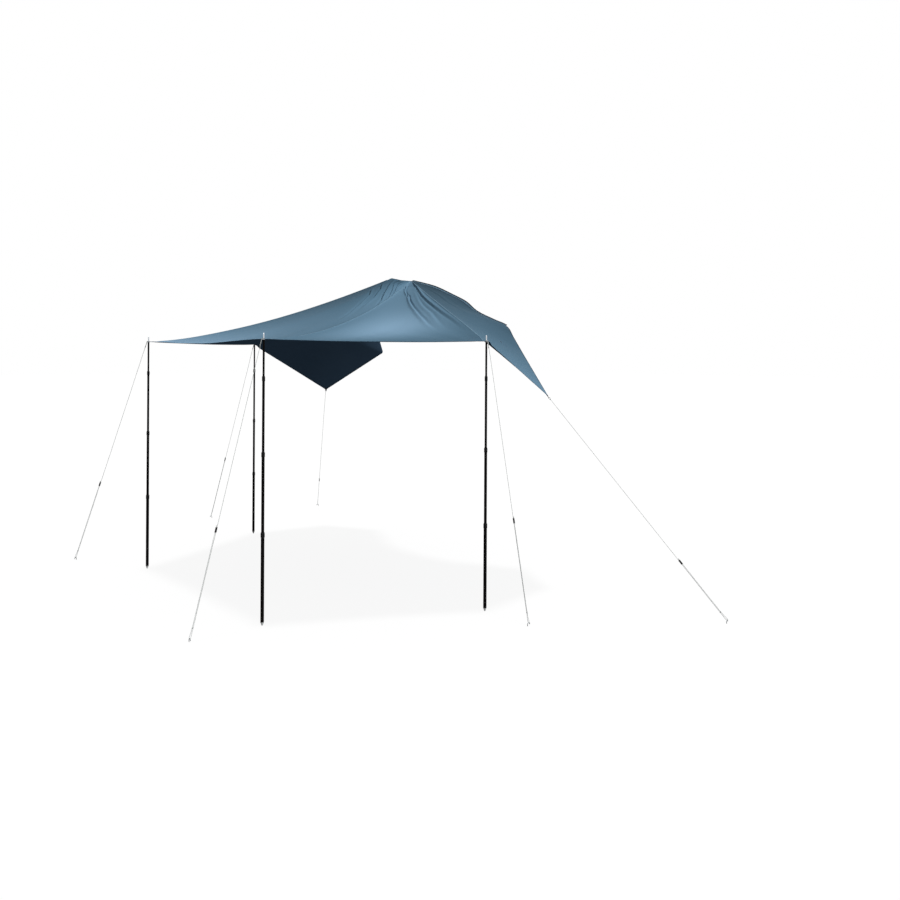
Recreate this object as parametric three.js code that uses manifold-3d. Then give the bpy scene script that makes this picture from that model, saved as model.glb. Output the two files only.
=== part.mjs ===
// Vehicle side awning: a cloth canopy that hangs from a high point beside a roof rack, spreads to
// four telescopic poles, and lets a triangular wing down at each end. Six guy lines hold it.
// Millimetres, +X along the vehicle, +Y toward the vehicle, +Z up from the ground.
import * as THREE from 'three';
import { mergeVertices } from 'three/addons/utils/BufferGeometryUtils.js';
import Module from 'manifold-3d';

// Driving dimensions of the canopy
const FRONT_POLE_SPAN = 2180;
const SIDE_POLE_SPAN = 3750;
const SIDE_POLE_DEPTH = 1500;
const PEAK_DEPTH = 2229;
const KNEE_DEPTH = 2700;
const KNEE_SPAN = 2200;
const WING_TIP_DEPTH = 2354;
const WING_TIP_SPAN = 3490;
const CORNER_HEIGHT = 2100;
const PEAK_HEIGHT = 2732;
const KNEE_HEIGHT = 2020;
const WING_TIP_HEIGHT = 1615;
const WING_TIP_TILT = 30;
const CORNER_MARGIN = 16;
const CORNER_PATCH = 70;
const CLOTH = 2.4;
const EYELET_HOLE_RADIUS = 7;
const FRONT_HEM_SAG = 26;
const SIDE_HEM_SAG = 10;
const HEM_HOLLOW = 22;
const GATHER_DEPTH = 11;
const WING_BELLY = 30;

// Driving dimensions of the poles, from the foot up
const TUBE_WALL = 1.2;
const TUBE_RADII = [13, 11.25, 9.5, 7.75];
const TUBE_LENGTH = 650;
const COLLAR_HEIGHTS = [664, 1253, 1809];
const COLLAR_LENGTH = 36;
const COLLAR_WALL = 1.7;
const COLLAR_CHAMFER = 3;
const COLLAR_NOSE = 9;
const TUBE_IN_COLLAR = 24;
const FOOT_HEIGHT = 24;
const FOOT_TIP_RADIUS = 5;
const PLUG_DEPTH = 28;
const PLUG_FLANGE = 3;
const PIN_RADIUS = 5;
const PIN_ABOVE_CLOTH = 46;
const PIN_CHAMFER = 1.5;
const SHOULDER_RADIUS = 11;

// Driving dimensions of the guy lines, their runners and their pegs
const CORD_RADIUS = 1.5;
const STRAND_PITCH = 3.6;
const LOOP_RADIUS = 6.2;
const RUNNER_LENGTH = 38;
const RUNNER_WALL = 2.2;
const RUNNER_PITCH = 6.4;
const POLE_RUNNER_SHARE = 0.66;
const WING_RUNNER_SHARE = 0.77;
const PEG_ROD_RADIUS = 2.5;
const PEG_HOOK_RADIUS = 11;
const PEG_HOOK_TOP = 25;
const PEG_HOOK_TAIL = 3;

// Where each peg stands: along the vehicle from the middle, then depth from the front pole row
const PEG_PLACES = {
  front_left: [-1840, -400],
  front_right: [1098, -552],
  side_right: [2345, 1494],
  side_left: [-3011, 1537],
  wing_right: [3253, 2678],
  wing_left: [-2907, 2979],
};

// Driving dimensions of the sewn band, the peak strap with its buckle, and the wing tabs
const BAND_WIDTH = 36;
const BAND_THICKNESS = 2;
const STRAP_WIDTH = 34;
const STRAP_THICKNESS = 2.2;
const STRAP_LENGTH = 58;
const BUCKLE_WIDTH = 46;
const BUCKLE_THICKNESS = 8;
const BUCKLE_BAR = 5;
const BUCKLE_SLOT = 5.5;
const BUCKLE_BASE = 17;
const PRONG_LENGTH = 32;
const PRONG_WIDTH = 5;
const TAB_WIDTH = 20;
const TAB_LENGTH = 40;
const TAB_THICKNESS = 2.5;
const TAB_HOLE_RADIUS = 5;

// Clearances, facet counts and the overrun of cuts
const SEAT_GAP = 0.3;
const SEWN_GAP = 0.4;
const SLIDE_GAP = 0.35;
const OVERRUN = 2;
const WELD_DISTANCE = 1e-4;
const ROUND_SIDES = 16;
const CORD_SIDES = 8;
const PEG_BENDS = 8;

// How fast each rib of the canopy falls from the peak: crown is the level start, slack the power
const HIP_LEFT = { crown_share: 0.1, slack_share: 1.5 };
const HIP_RIGHT = { crown_share: 0, slack_share: 1.8 };
const RIDGE = { crown_share: 0, slack_share: 1.0 };
const FRONT_MIDDLE = { crown_share: 0.1, slack_share: 1.5 };
const SIDE_PANEL_DIP = 40;

// The canopy's inner edge from the peak to the knee, as shares of the knee's span, depth and drop
const INNER_EDGE_SHARES = [
  [0, 0, 0], [0.261, 0.062, 0.102], [0.425, 0.151, 0.202], [0.567, 0.274, 0.313],
  [0.666, 0.423, 0.449], [0.805, 0.586, 0.558], [0.937, 0.732, 0.666], [0.965, 0.83, 0.797], [1, 1, 1],
];
const KNEE_SHARE = 0.64;
const BAND_END_SHARE = 0.56;
const ROW_SHARES = [0, 0.035, 0.08, 0.14, 0.21, 0.29, 0.38, 0.47, 0.56, 0.64, 0.75, 0.87, 0.975, 1];
const FLAT_END_SHARE = 0.975;
const GATHER_FULL_SHARE = 0.2;
const GATHER_END_SHARE = 0.42;

const wasm = await Module();
wasm.setup();

const up = new THREE.Vector3(0, 0, 1);
const point = (x, y, z) => new THREE.Vector3(x, y, z);

// Colours and finishes
function finish(color, roughness, metalness) {
  return new THREE.MeshStandardMaterial({ color, roughness, metalness });
}
const canopyCloth = finish(0x6f8fa5, 0.85, 0);
const bandCloth = finish(0x425b6b, 0.85, 0);
const webbing = finish(0x1c2024, 0.8, 0);
const blackTube = finish(0x141414, 0.45, 0.4);
const lockPlastic = finish(0x1a1a1a, 0.5, 0);
const footPlastic = finish(0xb9bcbc, 0.6, 0);
const pinSteel = finish(0xc8ccd0, 0.3, 0.9);
const pegSteel = finish(0x8a8d8f, 0.35, 0.9);
const cordBraid = finish(0xc9cbc8, 0.9, 0);

const awning = new THREE.Group();
function add(name, geometry, material) {
  const mesh = new THREE.Mesh(geometry, material);
  mesh.name = name;
  awning.add(mesh);
  return mesh;
}

// Joins and cuts
function solidOf(geometry) {
  const bare = geometry.index ? geometry.toNonIndexed() : geometry.clone();
  bare.deleteAttribute('normal');
  bare.deleteAttribute('uv');
  const merged = mergeVertices(bare, WELD_DISTANCE);
  return new wasm.Manifold(new wasm.Mesh({
    numProp: 3,
    vertProperties: new Float32Array(merged.attributes.position.array),
    triVerts: new Uint32Array(merged.index.array),
  }));
}
function geometryOf(solid) {
  const mesh = solid.getMesh();
  const geometry = new THREE.BufferGeometry();
  geometry.setAttribute('position', new THREE.BufferAttribute(new Float32Array(mesh.vertProperties), 3));
  geometry.setIndex(new THREE.BufferAttribute(new Uint32Array(mesh.triVerts), 1));
  return geometry;
}

// A turned piece about +Z, from a profile of radius and height pairs
function turned(profile, sides = ROUND_SIDES) {
  const points = profile.map(([r, z]) => new THREE.Vector2(r, z));
  return new THREE.LatheGeometry(points, sides).rotateX(Math.PI / 2);
}

// A route through chosen points, with a section set square to the mean of the runs that meet there
class Route extends THREE.Curve {
  constructor(points) {
    super();
    this.points = points;
  }
  getPoint(share, target = new THREE.Vector3()) {
    const last = this.points.length - 1;
    const before = Math.min(Math.floor(share * last + 1e-6), last - 1);
    return target.lerpVectors(this.points[before], this.points[before + 1], share * last - before);
  }
  getPointAt(share, target) {
    return this.getPoint(share, target);
  }
  getTangentAt(share, target = new THREE.Vector3()) {
    const last = this.points.length - 1;
    const here = Math.round(share * last);
    const run = (from, to) => this.points[to].clone().sub(this.points[from]).normalize();
    target.set(0, 0, 0);
    if (here > 0) target.add(run(here - 1, here));
    if (here < last) target.add(run(here, here + 1));
    return target.normalize();
  }
}
function round(radius, sides) {
  const shape = new THREE.Shape();
  for (let i = 0; i < sides; i++) {
    const angle = (2 * Math.PI * i) / sides;
    const at = [radius * Math.cos(angle), radius * Math.sin(angle)];
    if (i === 0) shape.moveTo(...at);
    else shape.lineTo(...at);
  }
  shape.closePath();
  return shape;
}
function tubeAlong(points, radius, sides = CORD_SIDES) {
  return new THREE.ExtrudeGeometry(round(radius, sides), {
    steps: points.length - 1,
    extrudePath: new Route(points),
    curveSegments: 1,
  });
}

// Plan of the awning, measured in depth from the front pole row and centred on its outline
const peakPlan = new THREE.Vector2(0, PEAK_DEPTH);
const polePlans = {
  side_left: new THREE.Vector2(-SIDE_POLE_SPAN / 2, SIDE_POLE_DEPTH),
  front_left: new THREE.Vector2(-FRONT_POLE_SPAN / 2, 0),
  front_right: new THREE.Vector2(FRONT_POLE_SPAN / 2, 0),
  side_right: new THREE.Vector2(SIDE_POLE_SPAN / 2, SIDE_POLE_DEPTH),
};
function cornerPlan(pole) {
  const reach = pole.clone().sub(peakPlan);
  return pole.clone().add(reach.setLength(CORNER_MARGIN));
}
const frontEdge = cornerPlan(polePlans.front_right).y;
const middleDepth = (frontEdge + KNEE_DEPTH) / 2;
const place = (x, depth, z) => point(x, depth - middleDepth, z);
const poleAt = (name, z) => place(polePlans[name].x, polePlans[name].y, z);

// Canopy ribs: curves from the peak to the hem, by their share of the way
function poleRib(pole, fall) {
  const corner = cornerPlan(pole);
  return (share) => {
    const plan = peakPlan.clone().lerp(corner, share);
    const way = Math.min(1, share / FLAT_END_SHARE);
    const beyondCrown = Math.max(0, (way - fall.crown_share) / (1 - fall.crown_share));
    const drop = 1 - (1 - beyondCrown) ** fall.slack_share;
    return place(plan.x, plan.y, PEAK_HEIGHT - drop * (PEAK_HEIGHT - CORNER_HEIGHT));
  };
}
function edgeRib(side) {
  const knee = place((side * KNEE_SPAN) / 2, KNEE_DEPTH, KNEE_HEIGHT);
  const tipHeight = WING_TIP_HEIGHT + side * WING_TIP_TILT;
  const tip = place((side * WING_TIP_SPAN) / 2, WING_TIP_DEPTH, tipHeight);
  const stations = INNER_EDGE_SHARES.map(([across, deep, down]) => place(
    (side * across * KNEE_SPAN) / 2,
    PEAK_DEPTH + deep * (KNEE_DEPTH - PEAK_DEPTH),
    PEAK_HEIGHT - down * (PEAK_HEIGHT - KNEE_HEIGHT),
  ));
  const upper = new THREE.CatmullRomCurve3(stations, false, 'centripetal');
  return (share) => {
    if (share >= KNEE_SHARE) return knee.clone().lerp(tip, (share - KNEE_SHARE) / (1 - KNEE_SHARE));
    return upper.getPoint(share / KNEE_SHARE);
  };
}
const frontMiddleRib = (() => {
  const left = poleRib(polePlans.front_left, FRONT_MIDDLE);
  const right = poleRib(polePlans.front_right, FRONT_MIDDLE);
  return (share) => left(share).lerp(right(share), 1 / 2);
})();

// Panels between neighbouring ribs, in order round the peak from the left wing to the right one
const panels = [
  { from: edgeRib(-1), to: poleRib(polePlans.side_left, RIDGE), columns: 6, wing: true, patchEnd: true },
  { from: poleRib(polePlans.side_left, RIDGE), to: poleRib(polePlans.front_left, HIP_LEFT), columns: 8,
    dip: SIDE_PANEL_DIP, sag: SIDE_HEM_SAG, patchStart: true, patchEnd: true, gather_share: 0.6 },
  { from: poleRib(polePlans.front_left, HIP_LEFT), to: frontMiddleRib, columns: 6,
    half: 'start', sag: FRONT_HEM_SAG, patchStart: true, gather_share: 1 },
  { from: frontMiddleRib, to: poleRib(polePlans.front_right, HIP_RIGHT), columns: 6,
    half: 'end', sag: FRONT_HEM_SAG, patchEnd: true, gather_share: 1 },
  { from: poleRib(polePlans.front_right, HIP_RIGHT), to: poleRib(polePlans.side_right, RIDGE), columns: 8,
    dip: SIDE_PANEL_DIP, sag: SIDE_HEM_SAG, patchStart: true, patchEnd: true, gather_share: 0.9 },
  { from: poleRib(polePlans.side_right, RIDGE), to: edgeRib(1), columns: 6, wing: true, patchStart: true },
];

// Where the columns of a panel stand across it, with one at the edge of each stiff corner patch
function columnShares(panel) {
  const width = panel.from(1).distanceTo(panel.to(1));
  const patch = CORNER_PATCH / width;
  const low = panel.patchStart ? patch : 0;
  const high = panel.patchEnd ? 1 - patch : 1;
  const inner = panel.columns - (panel.patchStart ? 1 : 0) - (panel.patchEnd ? 1 : 0);
  const shares = [];
  if (panel.patchStart) shares.push(0);
  for (let i = 0; i <= inner; i++) shares.push(low + ((high - low) * i) / inner);
  return shares.filter((share) => share < 1);
}
function hemSag(panel, across) {
  if (!panel.sag) return 0;
  if (panel.half === 'start') return panel.sag * Math.sin((across * Math.PI) / 2) ** 2;
  if (panel.half === 'end') return panel.sag * Math.cos((across * Math.PI) / 2) ** 2;
  return panel.sag * Math.sin(across * Math.PI);
}
const swell = (share) => Math.sin(Math.PI * Math.min(1, Math.max(0, share)));

// One point of the cloth's upper face
function clothPoint(panel, across, share, columnNumber) {
  const here = panel.from(share).lerp(panel.to(share), across);
  const hemward = share ** 3;
  here.z -= hemSag(panel, across) * hemward;
  if (panel.dip) here.z -= panel.dip * swell(across) * swell(share);
  if (panel.wing) here.z += WING_BELLY * swell(across) * swell(share) * share;
  if (panel.gather_share) {
    const crest = columnNumber % 2 === 0 ? 1 : -1;
    const reach = swell(share / GATHER_END_SHARE) * Math.min(1, share / GATHER_FULL_SHARE);
    here.z += crest * GATHER_DEPTH * reach * panel.gather_share;
  }
  if (!panel.wing) {
    const inward = place(peakPlan.x, peakPlan.y, here.z).sub(here).setLength(HEM_HOLLOW * hemward);
    const bow = panel.half ? hemSag(panel, across) / panel.sag : swell(across);
    here.add(inward.multiplyScalar(bow));
  }
  for (const pole of Object.values(polePlans)) {
    const away = Math.hypot(here.x - pole.x, here.y + middleDepth - pole.y);
    if (away < CORNER_PATCH + CORNER_MARGIN) here.z = CORNER_HEIGHT;
  }
  return here;
}

// The cloth's upper face as a grid of rows round the peak
function clothGrid() {
  const stations = [];
  for (const panel of panels) {
    for (const across of columnShares(panel)) stations.push({ panel, across });
  }
  stations.push({ panel: panels[panels.length - 1], across: 1 });
  const peak = place(peakPlan.x, peakPlan.y, PEAK_HEIGHT);
  const rows = ROW_SHARES.slice(1).map((share) => (
    stations.map(({ panel, across }, number) => clothPoint(panel, across, share, number))
  ));
  return { peak, rows, columns: stations.length };
}
function gridNormals(grid) {
  const { peak, rows, columns } = grid;
  const normals = rows.map((row) => row.map(() => new THREE.Vector3()));
  const face = (a, b, c) => b.clone().sub(a).cross(c.clone().sub(a));
  for (let j = 0; j < columns - 1; j++) {
    const first = face(peak, rows[0][j], rows[0][j + 1]);
    normals[0][j].add(first);
    normals[0][j + 1].add(first);
    for (let i = 0; i < rows.length - 1; i++) {
      const lower = face(rows[i][j], rows[i + 1][j], rows[i + 1][j + 1]);
      const upper = face(rows[i][j], rows[i + 1][j + 1], rows[i][j + 1]);
      normals[i][j].add(lower).add(upper);
      normals[i + 1][j].add(lower);
      normals[i + 1][j + 1].add(lower).add(upper);
      normals[i][j + 1].add(upper);
    }
  }
  for (const row of normals) row.forEach((normal) => normal.normalize());
  return normals;
}
const grid = clothGrid();
const normals = gridNormals(grid);

// The canopy: the upper face, the same face set in by the cloth's thickness, and the rim between
function canopyGeometry() {
  const { peak, rows, columns } = grid;
  const below = (at, normal) => at.clone().addScaledVector(normal, -CLOTH);
  const positions = [];
  const put = (at) => positions.push(at.x, at.y, at.z) / 3 - 1;
  const top = [put(peak)];
  const bottom = [put(below(peak, up))];
  rows.forEach((row, i) => row.forEach((at, j) => {
    top.push(put(at));
    bottom.push(put(below(at, normals[i][j])));
  }));
  const index = [];
  const triangle = (side, a, b, c) => index.push(...(side === top ? [a, b, c] : [a, c, b]).map((k) => side[k]));
  const id = (i, j) => 1 + i * columns + j;
  for (const side of [top, bottom]) {
    for (let j = 0; j < columns - 1; j++) {
      triangle(side, 0, id(0, j), id(0, j + 1));
      for (let i = 0; i < rows.length - 1; i++) {
        triangle(side, id(i, j), id(i + 1, j), id(i + 1, j + 1));
        triangle(side, id(i, j), id(i + 1, j + 1), id(i, j + 1));
      }
    }
  }
  const rim = [0];
  for (let i = 0; i < rows.length; i++) rim.push(id(i, 0));
  for (let j = 1; j < columns; j++) rim.push(id(rows.length - 1, j));
  for (let i = rows.length - 2; i >= 0; i--) rim.push(id(i, columns - 1));
  rim.forEach((here, k) => {
    const next = rim[(k + 1) % rim.length];
    index.push(bottom[here], top[next], top[here]);
    index.push(bottom[here], bottom[next], top[next]);
  });
  const geometry = new THREE.BufferGeometry();
  geometry.setAttribute('position', new THREE.Float32BufferAttribute(positions, 3));
  geometry.setIndex(index);
  return geometry;
}
function makeCanopy() {
  let cloth = solidOf(canopyGeometry());
  for (const name of Object.keys(polePlans)) {
    const hole = new THREE.CylinderGeometry(
      EYELET_HOLE_RADIUS, EYELET_HOLE_RADIUS, 2 * (CLOTH + OVERRUN), ROUND_SIDES,
    );
    hole.rotateX(Math.PI / 2);
    hole.translate(...poleAt(name, CORNER_HEIGHT));
    cloth = cloth.subtract(solidOf(hole));
  }
  add('canopy', geometryOf(cloth), canopyCloth);
}

// The sewn band follows the canopy's inner edge over the peak, edge to edge with the cloth
function bandStations() {
  const rowsUsed = ROW_SHARES.slice(1).filter((share) => share <= BAND_END_SHARE).length;
  const station = (i, column) => ({ at: grid.rows[i][column], normal: normals[i][column] });
  const left = [];
  const right = [];
  for (let i = 0; i <= rowsUsed; i++) {
    left.unshift(station(i, 0));
    right.push(station(i, grid.columns - 1));
  }
  return [...left, { at: grid.peak, normal: up }, ...right];
}
function makeBand() {
  const stations = bandStations();
  const inner = stations.slice(1, -1);
  const section = [[0, 0], [BAND_WIDTH, 0], [BAND_WIDTH, BAND_THICKNESS], [0, BAND_THICKNESS]];
  const corners = section.length;
  const positions = [];
  inner.forEach(({ at, normal }, k) => {
    const along = stations[k + 2].at.clone().sub(stations[k].at).normalize();
    const out = normal.clone().cross(along).normalize();
    for (const [reach, depth] of section) {
      const corner = at.clone().addScaledVector(out, SEWN_GAP + reach).addScaledVector(normal, -depth);
      positions.push(corner.x, corner.y, corner.z);
    }
  });
  // the lower face is split the same way as the upper one, so that the two never cross
  const index = [];
  for (let k = 0; k < inner.length - 1; k++) {
    for (let c = 0; c < corners; c++) {
      const [a, b] = [k * corners + c, k * corners + ((c + 1) % corners)];
      if (c === corners / 2) index.push(a, a + corners, b, b, a + corners, b + corners);
      else index.push(a, a + corners, b + corners, a, b + corners, b);
    }
  }
  const end = (inner.length - 1) * corners;
  index.push(0, 1, 2, 0, 2, 3, end, end + 2, end + 1, end, end + 3, end + 2);
  const geometry = new THREE.BufferGeometry();
  geometry.setAttribute('position', new THREE.Float32BufferAttribute(positions, 3));
  geometry.setIndex(index);
  add('edge_band', geometry, bandCloth);
}

// The peak strap comes out from under the band, round the bar of a side-release buckle
const bandSlope = (PEAK_HEIGHT - grid.rows[0][0].z) / Math.abs(grid.rows[0][0].x);
const strapTop = PEAK_HEIGHT - BAND_THICKNESS - SEWN_GAP - (bandSlope * STRAP_WIDTH) / 2;
const buckleMiddle = strapTop - STRAP_THICKNESS - SEWN_GAP - BUCKLE_THICKNESS / 2;
const strapStart = PEAK_DEPTH + BAND_THICKNESS + SEWN_GAP;
const buckleBack = strapStart + STRAP_LENGTH;
function makePeakStrap() {
  const inner = BUCKLE_THICKNESS / 2 + SEWN_GAP;
  const outer = inner + STRAP_THICKNESS;
  const turnInside = BUCKLE_BAR + SEWN_GAP;
  const turnOutside = turnInside + STRAP_THICKNESS;
  const tail = STRAP_LENGTH / 3;
  const profile = new THREE.Shape([
    [-STRAP_LENGTH, inner], [turnInside, inner], [turnInside, -inner], [-tail, -inner],
    [-tail, -outer], [turnOutside, -outer], [turnOutside, outer], [-STRAP_LENGTH, outer],
  ].map(([y, z]) => new THREE.Vector2(y, z)));
  const geometry = new THREE.ExtrudeGeometry(profile, { depth: STRAP_WIDTH, bevelEnabled: false });
  geometry.translate(0, 0, -STRAP_WIDTH / 2);
  geometry.applyMatrix4(new THREE.Matrix4().makeBasis(point(0, 1, 0), up, point(1, 0, 0)));
  geometry.translate(...place(0, buckleBack, buckleMiddle));
  add('peak_strap', geometry, webbing);
}
function makePeakBuckle() {
  const half = BUCKLE_WIDTH / 2;
  const tip = BUCKLE_BASE + PRONG_LENGTH;
  const barb = PRONG_WIDTH / 2;
  const shoulder = tip - 2 * PRONG_WIDTH;
  const arm = half - barb;
  const rightHalf = [
    [half, 0], [half, BUCKLE_BASE], [arm, BUCKLE_BASE], [arm, shoulder], [half, shoulder],
    [arm - barb, tip - barb], [arm - PRONG_WIDTH, tip - barb], [arm - PRONG_WIDTH, BUCKLE_BASE],
    [PRONG_WIDTH, BUCKLE_BASE], [PRONG_WIDTH, tip], [0, tip],
  ];
  const leftHalf = rightHalf.slice(0, -1).reverse().map(([x, y]) => [-x, y]);
  const outline = new THREE.Shape([...rightHalf, ...leftHalf].map(([x, y]) => new THREE.Vector2(x, y)));
  const slotHalf = STRAP_WIDTH / 2 + SEWN_GAP * 2;
  const slot = [
    [-slotHalf, BUCKLE_BAR], [slotHalf, BUCKLE_BAR],
    [slotHalf, BUCKLE_BAR + BUCKLE_SLOT], [-slotHalf, BUCKLE_BAR + BUCKLE_SLOT],
  ];
  outline.holes.push(new THREE.Path(slot.map(([x, y]) => new THREE.Vector2(x, y))));
  const geometry = new THREE.ExtrudeGeometry(outline, { depth: BUCKLE_THICKNESS, bevelEnabled: false });
  geometry.translate(0, 0, -BUCKLE_THICKNESS / 2);
  geometry.translate(...place(0, buckleBack, buckleMiddle));
  add('peak_buckle', geometry, lockPlastic);
}

// Telescopic poles. The canopy sits on the shoulder of the top pin
const apothem = Math.cos(Math.PI / ROUND_SIDES);
const boreOf = (radius) => radius - TUBE_WALL;
const shoulderTop = CORNER_HEIGHT - CLOTH - SEAT_GAP;
const topTubeEnd = shoulderTop - PLUG_FLANGE - SEAT_GAP;
const tubeTop = (level) => (
  level < COLLAR_HEIGHTS.length
    ? COLLAR_HEIGHTS[level] - COLLAR_LENGTH / 2 + TUBE_IN_COLLAR
    : topTubeEnd
);
const bottomTubeLength = tubeTop(0) - FOOT_HEIGHT - SEAT_GAP;

function tubeGeometry(level) {
  const radius = TUBE_RADII[level];
  const length = level === 0 ? bottomTubeLength : TUBE_LENGTH;
  const [low, high] = [tubeTop(level) - length, tubeTop(level)];
  return turned([[boreOf(radius), low], [radius, low], [radius, high], [boreOf(radius), high], [boreOf(radius), low]]);
}
function collarGeometry(level) {
  const lower = (TUBE_RADII[level] + SLIDE_GAP) / apothem;
  const upper = (TUBE_RADII[level + 1] + SLIDE_GAP) / apothem;
  const outer = lower + COLLAR_WALL;
  const base = COLLAR_HEIGHTS[level] - COLLAR_LENGTH / 2;
  const step = base + TUBE_IN_COLLAR + SLIDE_GAP;
  const top = base + COLLAR_LENGTH;
  const noseRadius = upper + COLLAR_WALL;
  return turned([
    [lower, base], [outer - COLLAR_WALL / 2, base], [outer, base + COLLAR_CHAMFER],
    [outer, top - COLLAR_NOSE], [noseRadius, top], [upper, top], [upper, step], [lower, step], [lower, base],
  ]);
}
function footGeometry() {
  const plug = boreOf(TUBE_RADII[0]) * apothem - SLIDE_GAP;
  const flange = TUBE_RADII[0];
  return turned([
    [0, 0], [FOOT_TIP_RADIUS, 0], [flange, FOOT_HEIGHT - PLUG_FLANGE], [flange, FOOT_HEIGHT],
    [plug, FOOT_HEIGHT], [plug, FOOT_HEIGHT + PLUG_DEPTH], [0, FOOT_HEIGHT + PLUG_DEPTH],
  ]);
}
function pinGeometry() {
  const plug = boreOf(TUBE_RADII[3]) * apothem - SLIDE_GAP;
  const tip = CORNER_HEIGHT + PIN_ABOVE_CLOTH;
  return turned([
    [0, topTubeEnd - PLUG_DEPTH], [plug, topTubeEnd - PLUG_DEPTH], [plug, topTubeEnd + SEAT_GAP],
    [SHOULDER_RADIUS, topTubeEnd + SEAT_GAP], [SHOULDER_RADIUS, shoulderTop], [PIN_RADIUS, shoulderTop],
    [PIN_RADIUS, tip - PIN_CHAMFER], [PIN_RADIUS - PIN_CHAMFER, tip], [0, tip],
  ]);
}
function makePole(name) {
  const stand = poleAt(name, 0);
  const piece = (part, geometry, material) => {
    const mesh = add(`${name}_${part}`, geometry, material);
    mesh.position.copy(stand);
  };
  piece('foot', footGeometry(), footPlastic);
  TUBE_RADII.forEach((radius, level) => piece(`tube_${level + 1}`, tubeGeometry(level), blackTube));
  COLLAR_HEIGHTS.forEach((height, level) => piece(`collar_${level + 1}`, collarGeometry(level), lockPlastic));
  piece('top_pin', pinGeometry(), pinSteel);
}

// Guy lines. Each is one cord: looped at its top, straight through its runner, round the hook of
// its peg and back up to the runner. Points are places along the guy, then out from it. A pole's
// loop counts outward from the pin, then sideways, then up, and its end lies beside the run
const OVER_HEM_ROUTE = [[17.6, 1.8, -6], [16.8, 1.8, -3], [14.6, 2.1, -0.8], [11.6, 3, 0]];
const PIN_LOOP_ROUTE = [
  [7.2, -4.8, 0], [2.9, -6.7, 0], [-1.3, -7.1, 0], [-5.5, -4.7, 0], [-7.2, 0, 0],
  [-5.5, 4.7, 0], [-1.3, 7.1, 0], [2.9, 6.7, 0], [7.2, 4.8, 0],
];
const LOOSE_END_ROUTE = [60, 32, 10];
const TAB_LOOP_ROUTE = [
  [24, -2.6], [18, -4.2], [12.5, -5.7], [9.3, -6.2], [6.4, -5.5], [4.2, -3.5], [3.05, 0],
  [4.2, 3.5], [6.4, 5.5], [9.3, 6.2], [12.5, 5.7], [18, 4.2], [24, 2.6], [31, 0.7],
];
const PEG_LOOP_ROUTE = [
  [-60, 0], [-34, 0], [-16, 0], [-7, 0], [0, 0], [3.4, 1.1], [5.4, 3.3], [6.2, 6.2], [5.4, 9.1],
  [3.4, 11.3], [0, 12.4], [-7, 12.2], [-16, 11.4], [-34, 9.2], [-60, 7.2], [-84, 6.4],
];
const TAB_LOOP_END = [48, 0];
const TAIL_ABOVE_RUNNER = 9;
const CORD_LIFT = 2.1;
const HOOK_CONTACT_GAP = 0.4;
const SETTLE_ROUNDS = 4;

// The straight part of a guy and the square directions that its runner and its peg loop use
function lineTo(start, pegAt) {
  const sink = LOOP_RADIUS - CORD_RADIUS - PEG_ROD_RADIUS - HOOK_CONTACT_GAP;
  const end = pegAt.clone().setZ(PEG_HOOK_TOP);
  const line = { end };
  for (let k = 0; k < SETTLE_ROUNDS; k++) {
    line.along = end.clone().sub(start).normalize();
    line.across = up.clone().cross(line.along).normalize();
    line.out = line.along.clone().cross(line.across).normalize();
    end.z = PEG_HOOK_TOP - LOOP_RADIUS * line.out.z - sink * line.along.z;
  }
  line.hook = end.clone().addScaledVector(line.out, LOOP_RADIUS).addScaledVector(line.along, sink);
  return line;
}
const local = (origin, along, out) => ([a, b]) => (
  origin.clone().addScaledVector(along, a).addScaledVector(out, b)
);

function makeGuy(name, topPoints, start, pegAt, runnerShare) {
  const line = lineTo(start, pegAt);
  const length = start.distanceTo(line.end);
  const runnerEnd = line.end.clone().addScaledVector(line.along, (runnerShare - 1) * length);
  const back = local(runnerEnd, line.along, line.out)([-RUNNER_LENGTH - TAIL_ABOVE_RUNNER, RUNNER_PITCH]);
  const cord = [
    ...topPoints, start, ...PEG_LOOP_ROUTE.map(local(line.end, line.along, line.out)), back,
  ];
  add(`${name}_cord`, tubeAlong(cord, CORD_RADIUS), cordBraid);
  makeRunner(name, runnerEnd, line);
  makePeg(name, line);
}
function makeRunner(name, low, line) {
  const channel = (CORD_RADIUS + SLIDE_GAP) / Math.cos(Math.PI / CORD_SIDES);
  const end = channel + RUNNER_WALL;
  const shape = new THREE.Shape();
  shape.absarc(RUNNER_PITCH, 0, end, -Math.PI / 2, Math.PI / 2);
  shape.absarc(0, 0, end, Math.PI / 2, (3 * Math.PI) / 2);
  for (const centre of [0, RUNNER_PITCH]) {
    const hole = new THREE.Path();
    hole.absarc(centre, 0, channel, 0, 2 * Math.PI, true);
    shape.holes.push(hole);
  }
  const body = new THREE.ExtrudeGeometry(shape, { depth: RUNNER_LENGTH, bevelEnabled: false, curveSegments: 8 });
  const mesh = add(`${name}_runner`, body, lockPlastic);
  mesh.matrixAutoUpdate = false;
  const back = line.along.clone().negate();
  mesh.matrix.makeBasis(line.out, back.clone().cross(line.out), back);
  mesh.matrix.setPosition(low);
  mesh.updateMatrixWorld(true);
}

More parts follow.
